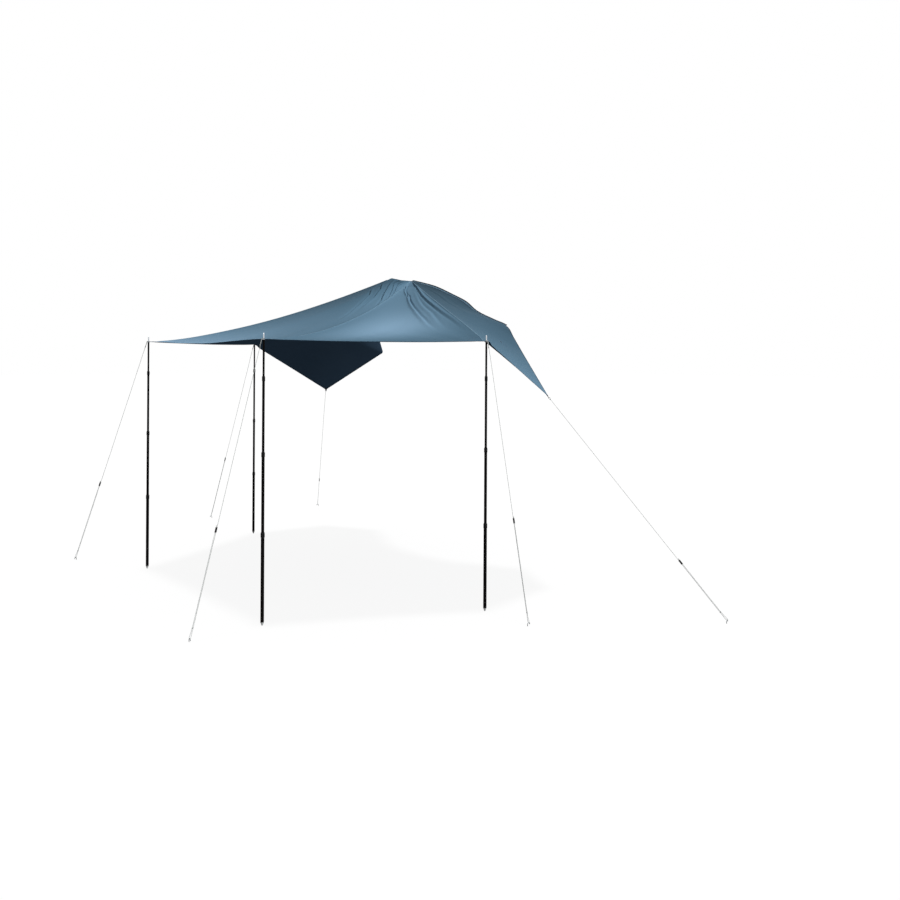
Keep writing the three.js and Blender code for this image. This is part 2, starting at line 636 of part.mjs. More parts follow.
// A hooked peg, pushed down so far that only its hook stands out of the ground
function makePeg(name, line) {
  const flat = point(line.across.x, line.across.y, 0).normalize();
  const foot = line.hook.clone().setZ(0);
  const at = (along, z) => foot.clone().addScaledVector(flat, along).setZ(z);
  const middle = PEG_HOOK_TOP - PEG_HOOK_RADIUS;
  const route = [at(-PEG_HOOK_RADIUS, 0)];
  for (let i = 0; i <= PEG_BENDS; i++) {
    const angle = Math.PI - (Math.PI * i) / PEG_BENDS;
    route.push(at(PEG_HOOK_RADIUS * Math.cos(angle), middle + PEG_HOOK_RADIUS * Math.sin(angle)));
  }
  route.push(at(PEG_HOOK_RADIUS, middle - PEG_HOOK_TAIL));
  add(`${name}_peg`, tubeAlong(route, PEG_ROD_RADIUS), pegSteel);
}

// A pole's guy lies round the top pin as a loop. Both of its strands bend down over the hem
function makePoleGuy(name) {
  const pin = poleAt(name, CORNER_HEIGHT + CORD_LIFT + CORD_RADIUS);
  const pegAt = place(...PEG_PLACES[name], 0);
  const outward = pegAt.clone().sub(pin).setZ(0).normalize();
  const sideways = up.clone().cross(outward);
  const spot = ([out, side, rise]) => local(pin, outward, sideways)([out, side]).addScaledVector(up, rise);
  const over = OVER_HEM_ROUTE.map(spot);
  const start = over[0];
  const loose = OVER_HEM_ROUTE.map(([out, side, rise]) => spot([out, -side, rise]));
  const { along } = lineTo(start, pegAt);
  const end = LOOSE_END_ROUTE.map((down) => local(start, along, sideways)([down, -STRAND_PITCH]));
  const loop = PIN_LOOP_ROUTE.map(spot);
  const back = over.slice(1).reverse();
  makeGuy(name, [...end, ...loose, ...loop, ...back], start, pegAt, POLE_RUNNER_SHARE);
}

// A wing's tab is sewn under the tip of the cloth, and its guy loops through the tab's hole
function makeWing(name, columnNumber) {
  const lastRow = grid.rows.length - 1;
  const tip = grid.rows[lastRow][columnNumber];
  const normal = normals[lastRow][columnNumber];
  const pegAt = place(...PEG_PLACES[name], 0);
  const pull = pegAt.clone().sub(tip);
  const along = pull.addScaledVector(normal, -pull.dot(normal)).normalize();
  const across = normal.clone().cross(along);
  const holePlace = (TAB_LENGTH - TAB_WIDTH) / 2;
  const centre = tip.clone().addScaledVector(normal, -CLOTH - 2 * SEWN_GAP - TAB_THICKNESS);
  const half = TAB_WIDTH / 2;
  const shape = new THREE.Shape();
  shape.moveTo(-TAB_LENGTH / 2, -half);
  shape.lineTo(TAB_LENGTH / 2 - half, -half);
  shape.absarc(TAB_LENGTH / 2 - half, 0, half, -Math.PI / 2, Math.PI / 2);
  shape.lineTo(-TAB_LENGTH / 2, half);
  shape.closePath();
  const hole = new THREE.Path();
  hole.absarc(holePlace, 0, TAB_HOLE_RADIUS, 0, 2 * Math.PI, true);
  shape.holes.push(hole);
  const tab = new THREE.ExtrudeGeometry(shape, { depth: TAB_THICKNESS, bevelEnabled: false, curveSegments: 8 });
  tab.applyMatrix4(new THREE.Matrix4().makeBasis(along, across, normal).setPosition(centre));
  add(`${name}_tab`, tab, webbing);
  const eye = centre.clone().addScaledVector(normal, TAB_THICKNESS / 2).addScaledVector(along, holePlace);
  const loop = TAB_LOOP_ROUTE.map(local(eye, along, normal));
  const start = local(eye, along, normal)(TAB_LOOP_END);
  makeGuy(name, loop, start, pegAt, WING_RUNNER_SHARE);
}

makeCanopy();
makeBand();
makePeakStrap();
makePeakBuckle();
Object.keys(polePlans).forEach(makePole);
Object.keys(polePlans).forEach(makePoleGuy);
makeWing('wing_left', 0);
makeWing('wing_right', grid.columns - 1);

export default awning;
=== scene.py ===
# %% [markdown]
# A side awning: a blue cloth canopy that hangs from one high point, spreads to four telescopic
# poles and lets a wing down at each end. Six guy lines run from it to pegs on the ground. The
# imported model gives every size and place, and this file gives each piece its looks.

import math

import bpy
import numpy as np
from mathutils import Matrix, Vector, noise


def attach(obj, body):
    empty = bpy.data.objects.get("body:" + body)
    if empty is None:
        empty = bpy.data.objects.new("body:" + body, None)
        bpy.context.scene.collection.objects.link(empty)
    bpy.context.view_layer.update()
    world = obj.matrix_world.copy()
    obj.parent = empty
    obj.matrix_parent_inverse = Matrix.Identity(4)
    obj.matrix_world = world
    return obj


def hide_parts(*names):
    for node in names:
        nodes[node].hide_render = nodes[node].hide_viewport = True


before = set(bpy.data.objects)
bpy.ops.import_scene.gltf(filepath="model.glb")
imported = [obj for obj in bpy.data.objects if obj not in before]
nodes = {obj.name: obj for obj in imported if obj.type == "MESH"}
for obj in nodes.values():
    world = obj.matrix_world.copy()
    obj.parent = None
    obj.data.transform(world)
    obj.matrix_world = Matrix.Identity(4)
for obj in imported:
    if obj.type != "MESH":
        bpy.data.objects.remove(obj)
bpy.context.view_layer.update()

# %% [markdown]
# The camera stands where the photograph was taken: beyond the front right pole, at eye height, and
# it looks level. Level keeps the poles upright in the picture. The small lens shift drops the
# horizon above the middle, as in the photograph, and a third of a degree of roll matches its lean.

# %% Camera
def linked(name, data):
    """An object for that data, linked into the scene."""
    made = bpy.data.objects.new(name, data)
    bpy.context.scene.collection.objects.link(made)
    return made


IMAGE_SIDE = 900
FOCAL_PIXELS = 851.2
HORIZON_ROW = 356.5
HEADING, ROLL = 2.4274, -0.0058
camera_data = bpy.data.cameras.new("photo_camera")
camera_data.sensor_width = 36
camera_data.lens = 36 * FOCAL_PIXELS / IMAGE_SIDE
camera_data.shift_y = (HORIZON_ROW - IMAGE_SIDE / 2) / IMAGE_SIDE
camera_data.clip_end = 200
camera = linked("photo_camera", camera_data)
camera.location = (6.6971, -4.3966, 1.9788)
camera.rotation_euler = (math.pi / 2, ROLL, HEADING - math.pi / 2)
bpy.context.scene.camera = camera
bpy.context.scene.view_settings.view_transform = "Standard"
print("lens", round(camera_data.lens, 2), "mm, shift", round(camera_data.shift_y, 4))

# %% [markdown]
# Materials are built from nodes. One function turns a hex colour into the linear numbers that
# Blender wants, and one adds a node with its settings and its links.

# %% Helpers for materials
def linear(hex_colour):
    """A hex colour as the four linear numbers of a colour socket."""
    parts = [int(hex_colour[i : i + 2], 16) / 255 for i in (1, 3, 5)]
    return [p / 12.92 if p <= 0.04045 else ((p + 0.055) / 1.055) ** 2.4 for p in parts] + [1]


def put(tree, kind, inputs=None, **settings):
    """Adds one node. Inputs are plain values, sockets, or nodes linked by their first output."""
    made = tree.nodes.new(kind)
    for key, value in settings.items():
        setattr(made, key, value)
    for key, value in (inputs or {}).items():
        if isinstance(value, bpy.types.Node):
            value = value.outputs[0]
        if isinstance(value, bpy.types.NodeSocket):
            tree.links.new(value, made.inputs[key])
        else:
            made.inputs[key].default_value = value
    return made


def new_material(name):
    """A material with an empty tree."""
    material = bpy.data.materials.new(name)
    material.use_nodes = True
    material.node_tree.nodes.clear()
    return material, material.node_tree


def painted(tree, first, *layers):
    """A colour with others laid over it, each one as far as its factor goes."""
    colour = linear(first) if isinstance(first, str) else first
    for factor, over in layers:
        colour = put(tree, "ShaderNodeMix", {0: factor, 6: colour, 7: linear(over)},
                     data_type="RGBA").outputs[2]
    return colour


def finish(tree, colour, rough, height, bump, more):
    """The surface of a material, on a bump with that strength and depth."""
    rise = put(tree, "ShaderNodeBump", {"Strength": bump[0], "Distance": bump[1],
                                        "Height": height})
    skin = put(tree, "ShaderNodeBsdfPrincipled", {"Base Color": colour, "Roughness": rough,
                                                  "Normal": rise.outputs[0], **more})
    put(tree, "ShaderNodeOutputMaterial", {"Surface": skin.outputs[0]})


print("mid grey is", [round(part, 3) for part in linear("#808080")])

# %% [markdown]
# The floor is a plain pale sheet. The camera sees it glow, so that only a faint shadow stays on
# it, straight under the cloth as in the photograph. The world is white to the camera and to
# reflections, but a softer grey to the cloth. A large key lamp low on the right gives the panels
# their different tones. Light linking keeps it off the floor, where its long shadow would show. A
# lamp straight overhead draws the shadow.

# %% Floor, world and lamps
FLOOR_GLOW, SKY_ON_CLOTH = 0.886, 0.26


def make_floor():
    bpy.ops.object.select_all(action="DESELECT")
    bpy.ops.mesh.primitive_plane_add(size=160, location=(0, 0, -0.0005))
    floor = bpy.context.object
    floor.name = "studio_floor"
    material, tree = new_material("pale_studio_floor")
    path = put(tree, "ShaderNodeLightPath")
    matt = put(tree, "ShaderNodeBsdfDiffuse", {"Color": linear("#f4f4f4")})
    faint = put(tree, "ShaderNodeBsdfDiffuse", {"Color": linear("#888888")})
    glow = put(tree, "ShaderNodeEmission", {"Color": linear("#ffffff"), "Strength": FLOOR_GLOW})
    lit = put(tree, "ShaderNodeAddShader", {0: faint.outputs[0], 1: glow.outputs[0]})
    seen = put(tree, "ShaderNodeMixShader", {0: path.outputs["Is Camera Ray"], 1: matt.outputs[0],
                                             2: lit.outputs[0]})
    put(tree, "ShaderNodeOutputMaterial", {"Surface": seen.outputs[0]})
    floor.data.materials.append(material)
    unlit = bpy.data.collections.new("not_lit_by_the_key")
    unlit.objects.link(floor)
    unlit.collection_objects[0].light_linking.link_state = "EXCLUDE"
    return unlit


def make_world():
    world = bpy.data.worlds.new("white_studio")
    bpy.context.scene.world = world
    world.use_nodes = True
    sky = world.node_tree
    sky.nodes.clear()
    path = put(sky, "ShaderNodeLightPath")
    soft = put(sky, "ShaderNodeBackground", {"Color": linear("#ffffff"), "Strength": SKY_ON_CLOTH})
    white = put(sky, "ShaderNodeBackground", {"Color": linear("#ffffff"), "Strength": 1.0})
    shown = put(sky, "ShaderNodeMath", {0: path.outputs["Is Camera Ray"],
                                        1: path.outputs["Is Glossy Ray"]}, operation="MAXIMUM")
    mixed = put(sky, "ShaderNodeMixShader", {0: shown, 1: soft.outputs[0], 2: white.outputs[0]})
    put(sky, "ShaderNodeOutputWorld", {"Surface": mixed.outputs[0]})


def add_sun(name, strength, angle, direction):
    data = bpy.data.lights.new(name, "SUN")
    data.energy = strength
    data.angle = math.radians(angle)
    lamp = linked(name, data)
    lamp.rotation_mode = "QUATERNION"
    lamp.rotation_quaternion = Vector(direction).to_track_quat("-Z", "Y")
    return lamp


not_by_key = make_floor()
make_world()
key = add_sun("key_lamp", strength=2.9, angle=14, direction=(-0.807, -0.142, -0.574))
key.light_linking.receiver_collection = not_by_key
add_sun("overhead_lamp", strength=0.8, angle=6, direction=(0, 0, -1))
print("studio with", [lamp.name for lamp in bpy.data.lights])

# %% [markdown]
# Sizes that the scene shares with the model, in metres. Depth is counted from the row of front
# poles toward the side that the awning hangs from, and place() turns a depth into the model's Y.

# %% Sizes
FRONT_POLE_SPAN, SIDE_POLE_SPAN, SIDE_POLE_DEPTH = 2.180, 3.750, 1.500
PEAK_DEPTH, KNEE_DEPTH, KNEE_SPAN = 2.229, 2.700, 2.200
WING_TIP_DEPTH, WING_TIP_SPAN, WING_TIP_TILT = 2.354, 3.490, 0.030
CORNER_HEIGHT, PEAK_HEIGHT, KNEE_HEIGHT, WING_TIP_HEIGHT = 2.100, 2.732, 2.020, 1.615
CORNER_MARGIN, CORNER_PATCH, WING_PATCH, CLOTH = 0.016, 0.060, 0.020, 0.0024
FLAT_END, KNEE_SHARE = 0.975, 0.64
CORD, LOOP, RUNNER, PITCH, STRAND_PITCH = 0.0015, 0.0062, 0.038, 0.0064, 0.0036
PEG_ROD, PEG_HOOK, PEG_HOOK_TOP, PEG_HOOK_TAIL, PEG_ROOM = 0.0025, 0.011, 0.025, 0.003, 0.0004

peak_plan = np.array([0.0, PEAK_DEPTH])
poles = {
    "side_left": np.array([-SIDE_POLE_SPAN / 2, SIDE_POLE_DEPTH]),
    "front_left": np.array([-FRONT_POLE_SPAN / 2, 0.0]),
    "front_right": np.array([FRONT_POLE_SPAN / 2, 0.0]),
    "side_right": np.array([SIDE_POLE_SPAN / 2, SIDE_POLE_DEPTH]),
}


def corner_plan(pole):
    """Where the cloth's corner is, a little beyond its pole."""
    reach = pole - peak_plan
    return pole + reach / np.linalg.norm(reach) * CORNER_MARGIN


MIDDLE = (corner_plan(poles["front_right"])[1] + KNEE_DEPTH) / 2


def place(x, depth, z):
    return np.array([x, depth - MIDDLE, z])


print("front poles stand at Y", round(-MIDDLE, 4))

# %% [markdown]
# The guy lines are 3 mm braided cords. Each is looped at its top, runs straight down through its
# runner, round the hook of its peg, and back up through the runner's second hole, where it ends
# in a knot. A cord is a tube along a route with rounded bends, which keeps one thickness all the
# way, and the routes are the model's own, so the cords lie where it has them.

# %% Guy lines
PEGS = {
    "front_left": (-1.840, -0.400), "front_right": (1.098, -0.552),
    "side_right": (2.345, 1.494), "side_left": (-3.011, 1.537),
    "wing_right": (3.253, 2.678), "wing_left": (-2.907, 2.979),
}
POLE_RUNNER, WING_RUNNER = 0.66, 0.77
# a pole's loop in millimetres outward from its pin, sideways and up: one strand, and the loop
OVER_HEM = [(17.6, 1.8, -6), (16.8, 1.8, -3), (14.6, 2.1, -0.8), (11.6, 3, 0)]
PIN_LOOP = [(7.2, -4.8, 0), (2.9, -6.7, 0), (-1.3, -7.1, 0), (-5.5, -4.7, 0), (-7.2, 0, 0),
            (-5.5, 4.7, 0), (-1.3, 7.1, 0), (2.9, 6.7, 0), (7.2, 4.8, 0)]
TAB_LOOP = [(24, -2.6), (18, -4.2), (12.5, -5.7), (9.3, -6.2), (6.4, -5.5), (4.2, -3.5),
            (3.05, 0), (4.2, 3.5), (6.4, 5.5), (9.3, 6.2), (12.5, 5.7), (18, 4.2), (24, 2.6),
            (31, 0.7)]
PEG_LOOP = [(-60, 0), (-34, 0), (-16, 0), (-7, 0), (0, 0), (3.4, 1.1), (5.4, 3.3), (6.2, 6.2),
            (5.4, 9.1), (3.4, 11.3), (0, 12.4), (-7, 12.2), (-16, 11.4), (-34, 9.2),
            (-60, 7.2), (-84, 6.4)]
# the hole of each wing tab, the way its cord leaves, and the way out of the cloth there
TAB_EYES = {
    "wing_left": ((-1.747587, 1.011408, 1.574532), (-0.549655, 0.249569, -0.797242),
                  (-0.652787, 0.467202, 0.596315)),
    "wing_right": ((1.748864, 1.011204, 1.634931), (0.670363, 0.187539, -0.717943),
                   (0.593587, 0.445059, 0.670505)),
}
UP = np.array([0.0, 0.0, 1.0])


def unit(v):
    return np.array(v) / np.linalg.norm(v)


def along_route(origin, along, out, table):
    """The points of a table, in millimetres along and out from an origin."""
    return [origin + np.array(along) * a / 1000 + np.array(out) * b / 1000 for a, b in table]


def line_to(start, peg):
    """The straight run of a guy: its direction, the way out from it, its end and the hook."""
    top = PEG_HOOK_TOP
    sink = LOOP - CORD - PEG_ROD - PEG_ROOM
    end = np.array([peg[0], peg[1], top])
    for _ in range(4):
        along = unit(end - start)
        across = unit(np.cross(UP, along))
        out = unit(np.cross(along, across))
        end[2] = top - LOOP * out[2] - sink * along[2]
    return along, across, out, end, end + out * LOOP + along * sink


def guy_route(name):
    """All the points of one guy line, and the run that its runner and peg sit on."""
    peg = place(*PEGS[name], 0)
    if name in TAB_EYES:
        eye, pull, face = (np.array(v) for v in TAB_EYES[name])
        top = along_route(eye, pull, face, TAB_LOOP)
        start = eye + pull * 0.048
        neck = (eye + pull * 0.0215, face)
    else:
        pin = place(*poles[name], CORNER_HEIGHT + 0.0021 + CORD)
        outward = unit([peg[0] - pin[0], peg[1] - pin[1], 0])
        sideways = np.cross(UP, outward)

        def spot(away, aside, rise):
            return pin + (outward * away + sideways * aside + UP * rise) / 1000

        over = [spot(*p) for p in OVER_HEM]
        start = over[0]
        along = line_to(start, peg)[0]
        top = [start + along * down - sideways * STRAND_PITCH for down in (0.060, 0.032, 0.010)]
        top += [spot(away, -aside, rise) for away, aside, rise in OVER_HEM]
        top += [spot(*p) for p in PIN_LOOP] + over[:0:-1]
        neck = (start + along * 0.044 - sideways * STRAND_PITCH / 2, sideways)
    along, across, out, end, hook = line_to(start, peg)
    share = WING_RUNNER if name in TAB_EYES else POLE_RUNNER
    low = end + along * (share - 1) * np.linalg.norm(end - start)
    tail = low - along * (RUNNER + 0.009) + out * PITCH
    points = [*top, start, *along_route(end, along, out, PEG_LOOP), tail]
    run = {"along": along, "across": across, "out": out, "end": end, "hook": hook, "low": low,
           "tail": tail, "neck": neck}
    return points, run


def length_of(points):
    return sum(float(np.linalg.norm(b - a)) for a, b in zip(points, points[1:]))


def smooth_through(points, share):
    """A curve through all the points, with its speed set by the square root of each gap."""
    last = len(points) - 1
    i = min(int(last * share), last - 1)
    w = last * share - i
    b, c = points[i], points[i + 1]
    a = points[i - 1] if i > 0 else 2 * b - c
    d = points[i + 2] if i + 2 <= last else 2 * c - b
    u, v, x = (np.linalg.norm(q - p) ** 0.5 for p, q in ((a, b), (b, c), (c, d)))
    m = ((b - a) / u - (c - a) / (u + v) + (c - b) / v) * v
    n = ((c - b) / v - (d - b) / (v + x) + (d - c) / x) * v
    return b + m * w + (-3 * b + 3 * c - 2 * m - n) * w**2 + (2 * b - 2 * c + m + n) * w**3


def rounded(points, steps=4):
    """The same route with its bends rounded: each run is cut in that many steps."""
    count = steps * (len(points) - 1)
    return [smooth_through(points, k / count) for k in range(count + 1)]


def mesh_piece(name, points, faces):
    data = bpy.data.meshes.new(name)
    data.from_pydata([tuple(p) for p in points], [], faces)
    return linked(name, data)


def swept_faces(rings, count):
    """The faces between rings of that many points each, and a flat cap at both ends."""
    faces = []
    for start in range(0, (rings - 1) * count, count):
        for t in range(count):
            a, b = start + t, start + (t + 1) % count
            faces.append((a, b, b + count, a + count))
    last = (rings - 1) * count
    return [*faces, tuple(reversed(range(count))), tuple(range(last, last + count))]


def tube_piece(name, path, radius, sides=12):
    """A mesh tube along a path. Its UV map counts the way round, and the metres along."""
    path = [np.array(p) for p in path]
    runs_along = [unit(b - a) for a, b in zip(path, path[1:])]
    heads = [runs_along[0]] + [unit(a + b) for a, b in zip(runs_along, runs_along[1:])]
    heads.append(runs_along[-1])
    side = unit(np.cross(heads[0], UP if abs(heads[0][2]) < 0.9 else np.array([1.0, 0, 0])))
    points, gone, metres = [], 0.0, []
    for k, (at, head) in enumerate(zip(path, heads)):
        side = unit(side - head * np.dot(side, head))
        lift_way = np.cross(head, side)
        gone += float(np.linalg.norm(at - path[k - 1])) if k else 0
        metres.append(gone)
        for t in range(sides):
            angle = 2 * math.pi * t / sides
            points.append(at + radius * (math.cos(angle) * side + math.sin(angle) * lift_way))
    piece = mesh_piece(name, points, swept_faces(len(path), sides))
    data, uv = piece.data, piece.data.uv_layers.new(name="cord_metres")
    for polygon in data.polygons:
        polygon.use_smooth = len(polygon.vertices) == 4
        ring = [v % sides for v in polygon.vertices]
        for loop, t in zip(polygon.loop_indices, ring):
            around = 1.0 if t == 0 and sides - 1 in ring else t / sides
            row = data.loops[loop].vertex_index // sides
            uv.data[loop].uv = (around, metres[row])
    return piece


routes, runs, cords = {}, {}, {}
for guy in PEGS:
    routes[guy], runs[guy] = guy_route(guy)
    routes[guy] = rounded(routes[guy])
    cords[guy] = tube_piece(f"{guy}_guy_line", routes[guy], CORD)
    print(guy, "guy line,", round(length_of(routes[guy]), 3), "m")

# %% [markdown]
# The canopy is one continuous sheet of coated polyester. On the real awning it is cut in panels
# that are sewn along the ribs, from the peak to each pole. Its shape is set by tension: straight
# ridges to the side poles, hips that hang a little to the front ones, and a wing that drops from
# each ridge. So the sheet is laid out as curves from the peak to the hem, the same ribs as in the
# model, and every point between two ribs comes from them.

# %% Ribs of the canopy
EDGE_SHARES = [(0, 0, 0), (0.261, 0.062, 0.102), (0.425, 0.151, 0.202), (0.567, 0.274, 0.313),
               (0.666, 0.423, 0.449), (0.805, 0.586, 0.558), (0.937, 0.732, 0.666),
               (0.965, 0.83, 0.797), (1, 1, 1)]
HIP_LEFT, HIP_RIGHT, RIDGE, FRONT_MIDDLE = (0.1, 1.5), (0, 1.8), (0, 1.0), (0.1, 1.5)
WING_BELLY, HEM_DRAW = 0.030, 0.022


def pole_rib(pole, fall):
    """A curve from the peak to a pole's corner; fall is its level start and its slack."""
    crown, slack = fall
    corner = corner_plan(pole)

    def rib(share):
        plan = peak_plan + (corner - peak_plan) * share
        beyond = max(0, (min(1, share / FLAT_END) - crown) / (1 - crown))
        drop = 1 - (1 - beyond) ** slack
        return place(plan[0], plan[1], PEAK_HEIGHT - drop * (PEAK_HEIGHT - CORNER_HEIGHT))

    return rib


def edge_rib(side):
    """The free inner edge, from the peak over the knee and down to the wing's tip."""
    knee = place(side * KNEE_SPAN / 2, KNEE_DEPTH, KNEE_HEIGHT)
    tip_height = WING_TIP_HEIGHT + side * WING_TIP_TILT
    tip = place(side * WING_TIP_SPAN / 2, WING_TIP_DEPTH, tip_height)
    marks = [place(side * across * KNEE_SPAN / 2,
                   PEAK_DEPTH + deep * (KNEE_DEPTH - PEAK_DEPTH),
                   PEAK_HEIGHT - down * (PEAK_HEIGHT - KNEE_HEIGHT))
             for across, deep, down in EDGE_SHARES]

    def rib(share):
        if share >= KNEE_SHARE:
            return knee + (tip - knee) * (share - KNEE_SHARE) / (1 - KNEE_SHARE)
        return smooth_through(marks, share / KNEE_SHARE)

    return rib


hip_left = pole_rib(poles["front_left"], HIP_LEFT)
hip_right = pole_rib(poles["front_right"], HIP_RIGHT)
ridge_left = pole_rib(poles["side_left"], RIDGE)
ridge_right = pole_rib(poles["side_right"], RIDGE)
middle_left = pole_rib(poles["front_left"], FRONT_MIDDLE)
middle_right = pole_rib(poles["front_right"], FRONT_MIDDLE)


def front_middle(share):
    return (middle_left(share) + middle_right(share)) / 2


# each panel: its two ribs, how far its hem sags, how far it dips, and where its columns stand
panels = [
    {"ribs": (edge_rib(-1), ridge_left), "columns": 30, "wing": True, "seams": (0, 1)},
    {"ribs": (ridge_left, hip_left), "columns": 50, "sag": 0.010, "dip": 0.040, "seams": (1, 1)},
    {"ribs": (hip_left, front_middle), "columns": 36, "sag": 0.026, "seams": (1, 0), "half": 0},
    {"ribs": (front_middle, hip_right), "columns": 60, "sag": 0.026, "seams": (0, 1), "half": 1},
    {"ribs": (hip_right, ridge_right), "columns": 84, "sag": 0.010, "dip": 0.040, "seams": (1, 1)},
    {"ribs": (ridge_right, edge_rib(1)), "columns": 36, "wing": True, "seams": (1, 0)},
]


def swell(share):
    return math.sin(math.pi * min(1, max(0, share)))


def hem_bow(panel, across):
    if "half" not in panel:
        return swell(across)
    return math.sin((across + panel["half"]) * math.pi / 2) ** 2


def sheet_point(panel, across, share):
    """One point of the smooth sheet, before folds and seams."""
    first, second = panel["ribs"]
    here = first(share) * (1 - across) + second(share) * across
    if panel.get("wing"):
        here[2] += WING_BELLY * swell(across) * swell(share) * share
    else:
        hemward = share**3 * hem_bow(panel, across)
        here[2] -= panel["sag"] * hemward + panel.get("dip", 0) * swell(across) * swell(share)
        inward = np.array([0, PEAK_DEPTH - MIDDLE, here[2]]) - here
        here = here + inward / max(np.linalg.norm(inward), 1e-9) * HEM_DRAW * hemward
    for pole in poles.values():
        away = math.hypot(here[0] - pole[0], here[1] + MIDDLE - pole[1])
        patch, reach = (WING_PATCH, 0.03) if panel.get("wing") else (CORNER_PATCH, 0.05)
        flat = 1 - min(1, max(0, (away - patch) / reach))
        here[2] += (CORNER_HEIGHT - here[2]) * flat * flat * (3 - 2 * flat)
    return here


print("the front hem hangs", round(sheet_point(panels[2], 1, 1)[2], 3), "m above the ground")

# %% [markdown]
# The folds make it cloth. At the peak the sheet is gathered under a strap, so pleats fan out from
# there, deep and sharp near the peak and gone halfway down. Each pleat is a crease with a raised
# lip beside it, and it is drawn through a few places: its share of the way down, and its turn
# round the peak, counted in panels. A seam is a raised strip along a rib, and the hem is folded
# twice, so it is thicker. All of these move the points out along the sheet's own normals.

# %% Folds, seams and hem
# each pleat: shares of the way down, turns there, half width, depth, lip, and the lip's side
PLEATS = [
    ((0.05, 0.09, 0.13, 0.17, 0.20), (3.30, 3.50, 3.82, 4.00, 4.02), 8, 11, 10, 1),
    ((0.06, 0.11, 0.14, 0.20, 0.23), (3.15, 3.33, 3.67, 3.98, 4.00), 8, 12, 10, 1),
    ((0.07, 0.12, 0.17, 0.23, 0.30), (2.95, 3.12, 3.45, 3.80, 3.96), 10, 18, 13, 1),
    ((0.08, 0.14, 0.18, 0.24, 0.30, 0.38), (2.55, 2.68, 3.17, 3.45, 3.55, 3.68), 10, 18, 13, 1),
    ((0.14, 0.24, 0.34, 0.41, 0.54), (2.30, 3.15, 3.45, 3.60, 3.76), 11, 15, 11, 1),
    ((0.05, 0.09, 0.16, 0.24, 0.30), (4.04, 4.30, 4.50, 4.62, 4.66), 6, 10, 6, 1),
    ((0.09, 0.19, 0.41, 0.56, 0.72, 0.82), (4.35, 4.60, 4.72, 4.77, 4.80, 4.82), 9, 14, 12, -1),
    ((0.30, 0.38, 0.51, 0.67, 0.84), (4.82, 4.83, 4.87, 4.87, 4.88), 10, 8, 6, -1),
    ((0.05, 0.11, 0.24, 0.46, 0.66, 0.90), (4.88, 4.90, 4.88, 4.92, 4.95, 4.965), 8, 10, 10, 1),
    ((0.05, 0.09, 0.16, 0.24, 0.30), (1.96, 1.70, 1.50, 1.38, 1.34), 6, 10, 6, -1),
    ((0.09, 0.19, 0.41, 0.56, 0.72, 0.82), (1.65, 1.40, 1.28, 1.23, 1.20, 1.18), 9, 14, 12, 1),
    ((0.30, 0.38, 0.51, 0.67, 0.84), (1.18, 1.17, 1.13, 1.13, 1.12), 10, 8, 6, 1),
    ((0.05, 0.11, 0.24, 0.46, 0.66, 0.90), (1.12, 1.10, 1.12, 1.08, 1.05, 1.035), 8, 10, 10, -1),
    ((0.05, 0.10, 0.18, 0.28), (2.75, 2.62, 2.45, 2.30), 8, 9, 6, 1),
    ((0.05, 0.10, 0.16, 0.24), (2.45, 2.32, 2.18, 2.05), 8, 9, 6, 1),
    ((0.16, 0.30, 0.46, 0.60), (5.35, 5.34, 5.30, 5.27), 12, 5, 4, 1),
    ((0.16, 0.30, 0.46, 0.60), (0.65, 0.66, 0.70, 0.73), 12, 5, 4, -1),
    ((0.30, 0.42, 0.55, 0.68), (5.60, 5.61, 5.62, 5.62), 12, 4, 3, 1),
    ((0.30, 0.42, 0.55, 0.68), (0.40, 0.39, 0.38, 0.38), 12, 4, 3, -1),
    ((0.04, 0.50, 0.99), (4, 4, 4), 5, 0, 4, 0),
    ((0.04, 0.50, 0.99), (2, 2, 2), 5, 0, 4, 0),
    ((0.04, 0.50, 0.99), (5, 5, 5), 4, 0, 3, 0),
    ((0.04, 0.50, 0.99), (1, 1, 1), 4, 0, 3, 0),
]
SEAM_HALF, SEAM_RISE = 0.007, 0.0011
HEM_WIDTH, HEM_RISE = 0.022, 0.0010
SLACK, FAN_RISE = 0.0022, 0.0035


def smooth_step(low, high, value):
    t = min(1, max(0, (value - low) / (high - low)))
    return t * t * (3 - 2 * t)


def fold_height(turn, share, panel_width):
    """How far the folds lift the sheet at one place round the peak."""
    height = 0
    for shares, turns, width, depth, lip, side in PLEATS:
        first, last = shares[0], shares[-1]
        if not first * 0.3 < share < last:
            continue
        fade = smooth_step(first * 0.3, first * 1.5, share)
        fade *= 1 - smooth_step(last * 0.62, last, share)
        spread = width / 1000 * (0.55 + 1.5 * share)
        off = (turn - float(np.interp(share, shares, turns))) * panel_width / spread
        crease = math.exp(-(off**2))
        raised = math.exp(-(((off - 2.0 * side) / 1.5) ** 2))
        height += fade * (lip * raised - depth * crease) / 1000
    return height


def corner_folds(turn, share):
    """Shallow folds that fan in from the four corners and die out up the panels."""
    lift = 0
    for corner in (1, 2, 4, 5):
        off = turn - corner
        if abs(off) < 0.6:
            fan = off / max(0.05, 1.06 - share)
            wave = FAN_RISE * math.cos(fan * 7.5) * math.exp(-abs(fan) * 0.55)
            lift += wave * smooth_step(0.35, 0.8, share)
    return lift * (1 - smooth_step(0.94, 0.985, share))


def row_shares():
    near = [0.0035, 0.007, 0.012]
    gathers = [0.012 + 0.0054 * k for k in range(1, 56)]
    smooth = [gathers[-1] + (0.98 - gathers[-1]) * k / 56 for k in range(1, 57)]
    return near + gathers + smooth + [0.985, 0.9885, 0.9905, 0.9915, 0.9935, 0.997, 0.9992, 1.0]


